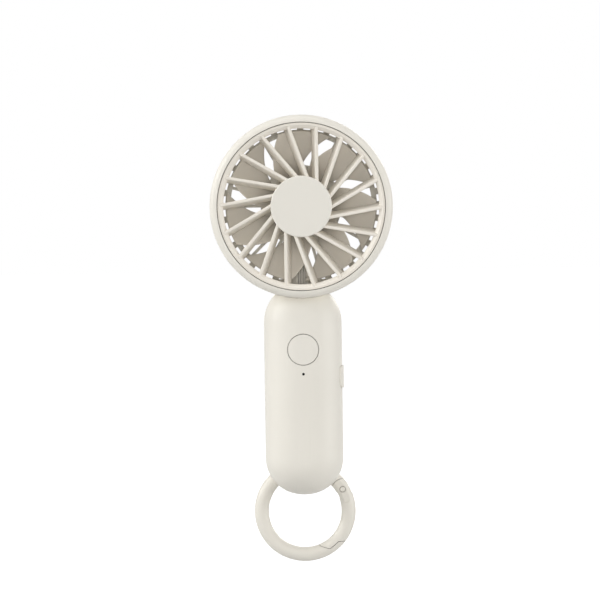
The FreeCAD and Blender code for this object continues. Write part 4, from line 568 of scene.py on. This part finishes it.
IMPELLER_OUTLINE = (
    (0, -11.4), (11.8, -11.4), (12.65, -11.05), (13, -10.2), (13, 1.6), (11.8, 1.6), (11.8, -10.2), (0, -10.2)
)
impeller_sizes = {
    "Facets": 96,
    "Corner": 0.5 * MM,
    "Blades": 7,
    "Blade root": 12.4 * MM,
    "Blade tip": 34.5 * MM,
    "Blade middle": 23.75 * MM,
    "Phase": 39.9,
    "Swirl": 1.417 / MM,
    "Chord angle": 40.7,
    "Half thickness": 0.65 * MM,
    "Blade front": -11.0 * MM,
    "Blade depth": 9.7 * MM,
    "Belly": 0.66 * MM,
    "Edge fullness": 0.4,
    "Stations": 40,
    "Round": 48,
    "Axis height": FAN_AXIS,
    "Material": shaded_impeller_plastic,
}
impeller_tree, given = form_tree("Impeller", impeller_sizes)
hub_outline = outline_of(impeller_tree, given["Outlines"], 0)
hub = turned(impeller_tree, hub_outline, given["Corner"], given["Facets"], 0)
grid = step(impeller_tree, "GeometryNodeMeshGrid", {
    "Vertices X": given["Stations"] + 1, "Vertices Y": given["Round"] + 1})
index = step(impeller_tree, "GeometryNodeInputIndex")
station = (index / (given["Round"] + 1)).worked("FLOOR")
around = (index - station * (given["Round"] + 1)) / given["Round"] * math.tau
outward = station / given["Stations"]
# Stations crowd towards the tip, where the web's edge is round.
span = given["Blade tip"] - given["Blade root"]
radius = given["Blade root"] + span * (outward * (math.pi / 2)).worked("SINE")
to_tip = ((given["Blade tip"] - radius) / given["Half thickness"]).worked("MINIMUM", 1.0)
from_root = station.worked("MINIMUM", 1.0)
thick = (to_tip * (to_tip * -1 + 2)).worked("SQRT") * from_root * given["Half thickness"]
across = around.worked("COSINE") * -0.5 + 0.5
lift = around.worked("SINE")
bulge = lift.worked("SIGN") * lift.worked("ABSOLUTE").worked("POWER", given["Edge fullness"]) * thick
belly = (across * math.pi).worked("SINE") * given["Belly"]
depth = given["Blade front"] + given["Half thickness"] + across * given["Blade depth"] + belly + bulge
swirl = (radius - given["Blade middle"]) * given["Swirl"]
angle = (given["Phase"] + swirl + (across - 0.5) * given["Chord angle"]) * (math.pi / 180)
blade = step(impeller_tree, "GeometryNodeSetPosition", {
    "Geometry": grid,
    "Position": point(impeller_tree, radius * angle.worked("SINE"), depth, radius * angle.worked("COSINE"))})
blades = ringed(impeller_tree, welded(impeller_tree, blade), given["Blades"])
raised(impeller_tree, joined(impeller_tree, hub, blades), given)
formed(
    "swept_impeller",
    impeller_tree,
    ((IMPELLER_OUTLINE, False),),
    impeller_sizes,
    "rotor",
    "impeller",
    "impeller",
)

# Power button and status light
# A flush round button of the shell's plastic, a little smoother from the thumb, and below it a tiny dark
# window, the domed end of a smoked pin that leads the lamp's light out.
button_plastic = moulding("button plastic", (0.84, 0.808, 0.733), (0.832, 0.80, 0.726), 0.36, 0.46)
finish(button_plastic, "power_button")
window_plastic = moulding("window plastic", (0.006, 0.006, 0.006), (0.005, 0.005, 0.005), 0.3, 0.4)
window_plastic.node_tree.nodes["Principled BSDF"].inputs["Specular IOR Level"].default_value = 0.2
window_low, window_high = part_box("light_pipe")
WINDOW_RADIUS = 0.62
WINDOW_SINK = (window_high[1] - window_low[1]) / MM
WINDOW_OUTLINE = (
    (0, -0.13), (0.3, -0.12), (WINDOW_RADIUS, -0.07), (WINDOW_RADIUS, 0.5), (0.36, 0.5), (0.36, 1.65),
    (1.3, 1.65), (1.3, 2.4), (0.36, 2.4), (0.36, WINDOW_SINK), (0, WINDOW_SINK),
)
turned_sizes = {
    "Facets": 48,
    "Corner": 0.05 * MM,
    "Turn": (0.0, 0.0, 0.0),
    "Place": (0.0, window_low[1], (window_low[2] + window_high[2]) / 2),
    "Material": window_plastic,
}
turned_tree, given = form_tree("Turned piece", turned_sizes)
own_outline = outline_of(turned_tree, given["Outlines"], 0)
whole = turned(turned_tree, own_outline, given["Corner"], given["Facets"], 0)
turning = step(turned_tree, "FunctionNodeEulerToRotation", [given["Turn"]])
ended(turned_tree, step(turned_tree, "GeometryNodeTransform", {
    "Geometry": whole, "Translation": given["Place"], "Rotation": turning}), given["Material"])
formed(
    "light_window",
    turned_tree,
    ((WINDOW_OUTLINE, False),),
    turned_sizes,
    "housing",
    "light_window",
    "light_pipe",
)

# Cover of the charging socket
# A soft rubber-like cover that stands proud of the grip's right side, matt, with a fine leathery grain.
# The cover's seams take only a faint painted shade.
FAINT_PAINTED_SHADE = (0.7, 0.67, 0.6)
cover_rubber = moulding(
    "cover rubber", (0.848, 0.815, 0.738), (0.835, 0.80, 0.722), 0.5, 0.6, 3800.0, shade_colour=FAINT_PAINTED_SHADE
)
finish(cover_rubber, "port_cover")

# Carabiner ring and gate
# A round ring of filled nylon through the eye in the back of the foot, with a hinged gate on a riveted pin
# that is painted in the ring's colour.
# The ring's seams and gate lines take a pale painted shade.
PALE_PAINTED_SHADE = (0.34, 0.315, 0.27)
ring_plastic = moulding(
    "ring plastic", (0.825, 0.79, 0.708), (0.81, 0.775, 0.693), 0.38, 0.48, 4500.0, shade_colour=PALE_PAINTED_SHADE
)
finish(ring_plastic, "ring_body", "ring_gate")
# A dark painted shade, looked for further out, rings the pin's head in its gap.
DARK_PAINTED_SHADE = (0.06, 0.055, 0.045)
PIN_SHADE_REACH = 0.9 * MM
pin_paint = moulding(
    "pin paint",
    (0.835, 0.80, 0.718),
    (0.815, 0.78, 0.70),
    0.3,
    0.42,
    5000.0,
    shade_colour=DARK_PAINTED_SHADE,
    shade_reach=PIN_SHADE_REACH,
)
pin_low, pin_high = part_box("gate_pin")
PIN_HEAD = 1.26
PIN_OUTLINE = (
    (0, 0), (1.05, 0), (PIN_HEAD, 0.3), (PIN_HEAD, 0.6), (0.8, 0.6),
    (0.8, 5.6), (PIN_HEAD, 5.6), (PIN_HEAD, 5.9), (1.05, 6.2), (0, 6.2),
)
pin_sizes = {
    **turned_sizes,
    "Place": ((pin_low[0] + pin_high[0]) / 2, pin_low[1], (pin_low[2] + pin_high[2]) / 2),
    "Material": pin_paint,
}
formed("riveted_pin", turned_tree, ((PIN_OUTLINE, False),), pin_sizes, "gate", "pin_paint", "gate_pin")

# Metals of the motor and the gate's spring
# Turned, drawn and sheet metal, with fine lines that run round the part or along it, sintered bronze in the
# bearings, and ferrite in the magnet and the coil.
METAL_RELIEF = 0.000004
SINTERED_RELIEF = 0.00001
LAMINATION_RELIEF = 0.00003
TARNISH_SCALE = 500.0
worked_metal, given, made = group_of(
    "Worked metal",
    [
        ("Colour", "NodeSocketColor", (0.6, 0.6, 0.6, 1.0)),
        ("Dull colour", "NodeSocketColor", (0.5, 0.5, 0.5, 1.0)),
        ("Lines", "NodeSocketVector", (1.0, 1.0, 1.0)),
        ("Smooth", "NodeSocketFloat", 0.2),
        ("Rough", "NodeSocketFloat", 0.4),
    ],
    [("Colour", "NodeSocketColor"), ("Roughness", "NodeSocketFloat"), ("Height", "NodeSocketFloat")],
)
nodes, links = worked_metal.nodes, worked_metal.links
place = nodes.new("ShaderNodeTexCoord").outputs["Object"]
stretched = combined(nodes, links, "MULTIPLY", place, given.outputs["Lines"], "ShaderNodeVectorMath")
lines = noise(nodes, links, stretched, 1.0, 3.0)
tarnish = noise(nodes, links, place, TARNISH_SCALE, 4.0)
tone = spread(nodes, links, tarnish, 0.0, 1.0)
dulled = shaded(nodes, links, given.outputs["Colour"], given.outputs["Dull colour"], tone)
gloss = spread(nodes, links, lines, given.outputs["Smooth"], given.outputs["Rough"])
links.new(dulled, made.inputs["Colour"])
links.new(gloss, made.inputs["Roughness"])
links.new(lines, made.inputs["Height"])


def metal(name, colour, dull, lines, smooth, rough, relief=METAL_RELIEF, metallic=1.0):
    """A metal: two close colours, how fine its lines are along each axis, and the bounds of its gloss."""
    look = {
        "Colour": (*colour, 1.0),
        "Dull colour": (*dull, 1.0),
        "Lines": lines,
        "Smooth": smooth,
        "Rough": rough,
    }
    return surfaced(name, worked_metal, look, {"Metallic": metallic}, relief)


drawn_steel = metal("drawn steel", (0.78, 0.77, 0.74), (0.66, 0.65, 0.62), (4000, 900, 4000), 0.2, 0.34)
finish(drawn_steel, "gate_spring", "motor_shaft", "shaft_clip")
rotor_steel = metal("rotor steel", (0.50, 0.50, 0.51), (0.42, 0.42, 0.43), (600, 9000, 600), 0.25, 0.42)
finish(rotor_steel, "rotor_cup")
magnet_ferrite = metal(
    "magnet ferrite", (0.07, 0.07, 0.075), (0.045, 0.045, 0.05), (5000, 5000, 5000), 0.5, 0.75, metallic=0.0
)
finish(magnet_ferrite, "magnet_ring", "boost_coil")
bearing_bronze = metal(
    "bearing bronze", (0.62, 0.43, 0.2), (0.42, 0.28, 0.13), (7000, 7000, 7000), 0.35, 0.6, SINTERED_RELIEF
)
finish(bearing_bronze, "front_bearing", "rear_bearing")
base_alloy = metal("base alloy", (0.68, 0.68, 0.69), (0.58, 0.58, 0.59), (700, 9000, 700), 0.28, 0.44)
finish(base_alloy, "motor_base")
core_sheet = metal(
    "core sheet", (0.26, 0.27, 0.29), (0.2, 0.2, 0.22), (200, 12000, 200), 0.35, 0.6, LAMINATION_RELIEF
)
finish(core_sheet, "stator_core")

# Windings of the stator
# Enamelled copper wire in two layers round each of the nine teeth: out along the tooth and back over itself.
# The wire steps up to the second layer over an eighth of its length, in the middle.
STEP_START = 7 / 16
STEP_LENGTH = 1 / 8
coil_copper = metal("coil copper", (0.72, 0.28, 0.1), (0.55, 0.18, 0.06), (900, 900, 900), 0.16, 0.3)
winding_sizes = {
    "Teeth": 9,
    "Turns": 10,
    "Points": 20,
    "Wire radius": 0.2 * MM,
    "Wire facets": 6,
    "Inner half width": 1.14 * MM,
    "Inner half height": 2.74 * MM,
    "Layer": 0.42 * MM,
    "Foot": 5.85 * MM,
    "Run": 2.0 * MM,
    "Middle depth": -3.5 * MM,
    "Axis height": FAN_AXIS,
    "Material": coil_copper,
}
winding_tree, given = form_tree("Stator windings", winding_sizes)
line = step(winding_tree, "GeometryNodeCurvePrimitiveLine")
line = step(winding_tree, "GeometryNodeResampleCurve", {
    "Curve": line, "Count": given["Turns"] * given["Points"] + 1}, mode="COUNT")
index = step(winding_tree, "GeometryNodeInputIndex")
wound = index / given["Points"] * math.tau
along = index / (given["Points"] * given["Turns"])
back = ((along - STEP_START) / STEP_LENGTH).worked("MINIMUM", 1.0).worked("MAXIMUM", 0.0)
out_and_back = (along * 2 - 1).worked("ABSOLUTE") * -1 + 1
width = given["Inner half width"] + back * given["Layer"]
height = given["Inner half height"] + back * given["Layer"]
side = wound.worked("COSINE")
up = wound.worked("SINE")
# A turn is a square with round corners, since the fourth powers of its sides add up to one.
squarer = (side * side * side * side + up * up * up * up).worked("POWER", -0.25)
on_tooth = point(
    winding_tree,
    side * squarer * width,
    up * squarer * height + given["Middle depth"],
    given["Foot"] + out_and_back * given["Run"],
)
wire = step(winding_tree, "GeometryNodeSetPosition", {"Geometry": line, "Position": on_tooth})
wire_round = step(winding_tree, "GeometryNodeCurvePrimitiveCircle", {
    "Resolution": given["Wire facets"], "Radius": given["Wire radius"]})
wire = step(winding_tree, "GeometryNodeCurveToMesh", {
    "Curve": wire, "Profile Curve": wire_round, "Fill Caps": True})
raised(winding_tree, ringed(winding_tree, wire, given["Teeth"]), given)
formed("tooth_windings", winding_tree, (), winding_sizes, "housing", "copper", "stator_coils")

# Screws
# Small pan-head screws with a cross recess and a rolled thread, zinc plated: three hold the motor from the
# front, four the control board and four the back shell. A set of like screws is one piece.
screw_steel = metal("screw steel", (0.56, 0.56, 0.57), (0.42, 0.42, 0.43), (3000, 3000, 3000), 0.2, 0.36)
HEAD_OVER_SHANK = 1.8
HEAD_HEIGHT = 1.2
CORE_OVER_SHANK = 0.76
TIP_LENGTH = 0.9
THREAD_SUNK = 0.2
THREAD_SHORTER = 1.6
THREAD_PITCH = 0.55
CROSS_OVER_HEAD = 0.6
CROSS_OVER_SHANK = 0.25
screw_sizes = {
    "Facets": 28,
    "Corner": 0.1 * MM,
    "Head height": HEAD_HEIGHT * MM,
    "Cross reach": 0.0,
    "Cross half width": 0.0,
    "Cross depth": 0.5 * MM,
    "Thread radius": 0.0,
    "Thread length": 0.0,
    "Thread turns": 0.0,
    "Thread steps": 18,
    "Ridge": 0.2 * MM,
    "Ridge facets": 4,
    "Turn": 0.0,
    "Material": screw_steel,
}
screw_tree, given = form_tree("Cross-head screws", screw_sizes)
own_outline = outline_of(screw_tree, given["Outlines"], 0)
blank = turned(screw_tree, own_outline, given["Corner"], given["Facets"], 0)
cross = [
    step(screw_tree, "GeometryNodeTransform", {
        "Geometry": step(screw_tree, "GeometryNodeMeshCube", [
            point(screw_tree, long * 2, given["Cross depth"] * 2, high * 2)]),
        "Translation": point(screw_tree, y=given["Head height"] * -1)})
    for long, high in (
        (given["Cross reach"], given["Cross half width"]), (given["Cross half width"], given["Cross reach"])
    )
]
recessed = blank
for bar in cross:
    recessed = step(screw_tree, "GeometryNodeMeshBoolean", {
        "Mesh 1": recessed, "Mesh 2": bar}, operation="DIFFERENCE", solver="EXACT")
helix = step(screw_tree, "GeometryNodeCurveSpiral", {
    "Resolution": given["Thread steps"], "Rotations": given["Thread turns"],
    "Start Radius": given["Thread radius"], "End Radius": given["Thread radius"],
    "Height": given["Thread length"]})
ridge = step(screw_tree, "GeometryNodeCurvePrimitiveCircle", {
    "Resolution": given["Ridge facets"], "Radius": given["Ridge"]})
thread = step(screw_tree, "GeometryNodeCurveToMesh", {
    "Curve": helix, "Profile Curve": ridge, "Fill Caps": True})
thread = step(screw_tree, "GeometryNodeTransform", {
    "Geometry": thread, "Translation": point(screw_tree, y=given["Head height"] * 0.5),
    "Rotation": step(screw_tree, "FunctionNodeEulerToRotation", [(-math.pi / 2, 0, 0)])})
screw = joined(screw_tree, recessed, thread)
# Outline 0 is the screw's own, and outline 1 holds the places of the set.
spots = step(screw_tree, "GeometryNodeInputNamedAttribute", {"Name": "outline"}, data_type="INT")
spots = step(screw_tree, "GeometryNodeSeparateGeometry", {"Geometry": given["Outlines"], "Selection": spots})
facing = step(screw_tree, "FunctionNodeEulerToRotation", [point(screw_tree, z=given["Turn"])])
ended(screw_tree, step(screw_tree, "GeometryNodeInstanceOnPoints", {
    "Points": spots, "Instance": screw, "Rotation": facing}), given["Material"])


def screws(name, node, shank, length, turn, places):
    """A set of like screws, their heads on the seats at the places, turned to face the front or the back."""
    head = shank * HEAD_OVER_SHANK
    core = shank * CORE_OVER_SHANK
    thread = length - THREAD_SHORTER
    outline = (
        (0, -HEAD_HEIGHT), (0.7 * head, -HEAD_HEIGHT), (0.94 * head, -0.7 * HEAD_HEIGHT),
        (head, -0.3 * HEAD_HEIGHT), (head, 0), (core, 0), (core, length - TIP_LENGTH),
        (0.3 * core, length), (0, length),
    )
    own = {
        "Cross reach": CROSS_OVER_HEAD * head * MM,
        "Cross half width": CROSS_OVER_SHANK * shank * MM,
        "Thread radius": (shank - THREAD_SUNK) * MM,
        "Thread length": thread * MM,
        "Thread turns": thread / THREAD_PITCH,
        "Turn": turn,
    }
    outlines = ((outline, False), (places, False))
    formed(name, screw_tree, outlines, {**screw_sizes, **own}, "housing", "steel", node)


TO_THE_BACK = math.pi
TO_THE_FRONT = 0.0
MOTOR_CIRCLE = 8.6
MOTOR_SCREWS = [
    (MOTOR_CIRCLE * math.sin(angle), 5.2, AXIS_LEVEL + MOTOR_CIRCLE * math.cos(angle))
    for angle in (0.0, math.tau / 3, math.tau * 2 / 3)
]
screws("motor_cross_screws", "motor_screws", 0.9, 7.0, TO_THE_FRONT, MOTOR_SCREWS)
BOARD_SCREWS = [(side, -5.2, level) for side in (-9.5, 9.5) for level in (30.0, -11.0)]
screws("board_cross_screws", "board_screws", 0.8, 3.6, TO_THE_BACK, BOARD_SCREWS)
SHELL_SCREWS = [(side, 5.2, level) for side in (-12.9, 12.9) for level in (38.0, -18.5)]
screws("shell_cross_screws", "housing_screws", 0.9, 8.0, TO_THE_BACK, SHELL_SCREWS)

# Tabs and the charging socket's shell
# Pressed nickel strip, welded to the cell's ends, and the socket's drawn shell.
tab_nickel = metal("tab nickel", (0.70, 0.67, 0.60), (0.6, 0.57, 0.5), (6000, 900, 900), 0.22, 0.38)
finish(tab_nickel, "positive_tab", "negative_tab", "usb_shell")

# Boards and what sits on them
# Green glass-fibre boards with a glossy solder mask, moulded chips, the push switch, the socket's tongue and
# the clear chip of the status light.
board_mask = moulding("board mask", (0.02, 0.13, 0.06), (0.012, 0.09, 0.04), 0.2, 0.34, 2600.0)
finish(board_mask, "control_board", "motor_board")
chip_resin = moulding("chip resin", (0.02, 0.02, 0.022), (0.028, 0.028, 0.03), 0.42, 0.6, 5000.0)
finish(chip_resin, "board_chips", "tact_switch", "tact_plunger", "usb_tongue")
lamp_resin = moulding("lamp resin", (0.80, 0.78, 0.55), (0.78, 0.74, 0.48), 0.12, 0.2, 4000.0)
finish(lamp_resin, "status_led")

# Cell, foam and wires
# A lithium cell in a shrunk sleeve, a strip of black foam behind it, and wires with soft insulation.
cell_sleeve = moulding("cell sleeve", (0.03, 0.16, 0.36), (0.025, 0.13, 0.31), 0.22, 0.34, 900.0)
CELL_OUTLINE = (
    (0, 0), (8.6, 0), (9.2, 0.5), (9.2, 60.6), (8.75, 61.3), (8.75, 61.9), (9.2, 62.6),
    (9.2, 64.7), (8.0, 65), (0, 65),
)
CELL_DEPTH = 4.6 * MM
CELL_FOOT = -27.2 * MM
cell_sizes = {
    **turned_sizes,
    "Facets": 72,
    "Corner": 0.4 * MM,
    "Turn": (math.pi / 2, 0.0, 0.0),
    "Place": (0.0, CELL_DEPTH, CELL_FOOT),
    "Material": cell_sleeve,
}
formed("sleeved_cell", turned_tree, ((CELL_OUTLINE, False),), cell_sizes, "housing", "cell", "battery_cell")
FOAM_RELIEF = 0.0001
pad_foam = moulding("pad foam", (0.025, 0.025, 0.027), (0.045, 0.045, 0.047), 0.75, 0.95, 2600.0, FOAM_RELIEF)
finish(pad_foam, "cell_pad")
motor_sleeve = moulding("motor wire sleeve", (0.74, 0.71, 0.65), (0.70, 0.67, 0.61), 0.36, 0.48, 3000.0)
finish(motor_sleeve, "motor_leads")
cell_wire_sleeve = moulding("cell wire sleeve", (0.5, 0.04, 0.03), (0.42, 0.03, 0.025), 0.32, 0.44, 3000.0)
finish(cell_wire_sleeve, "battery_leads")
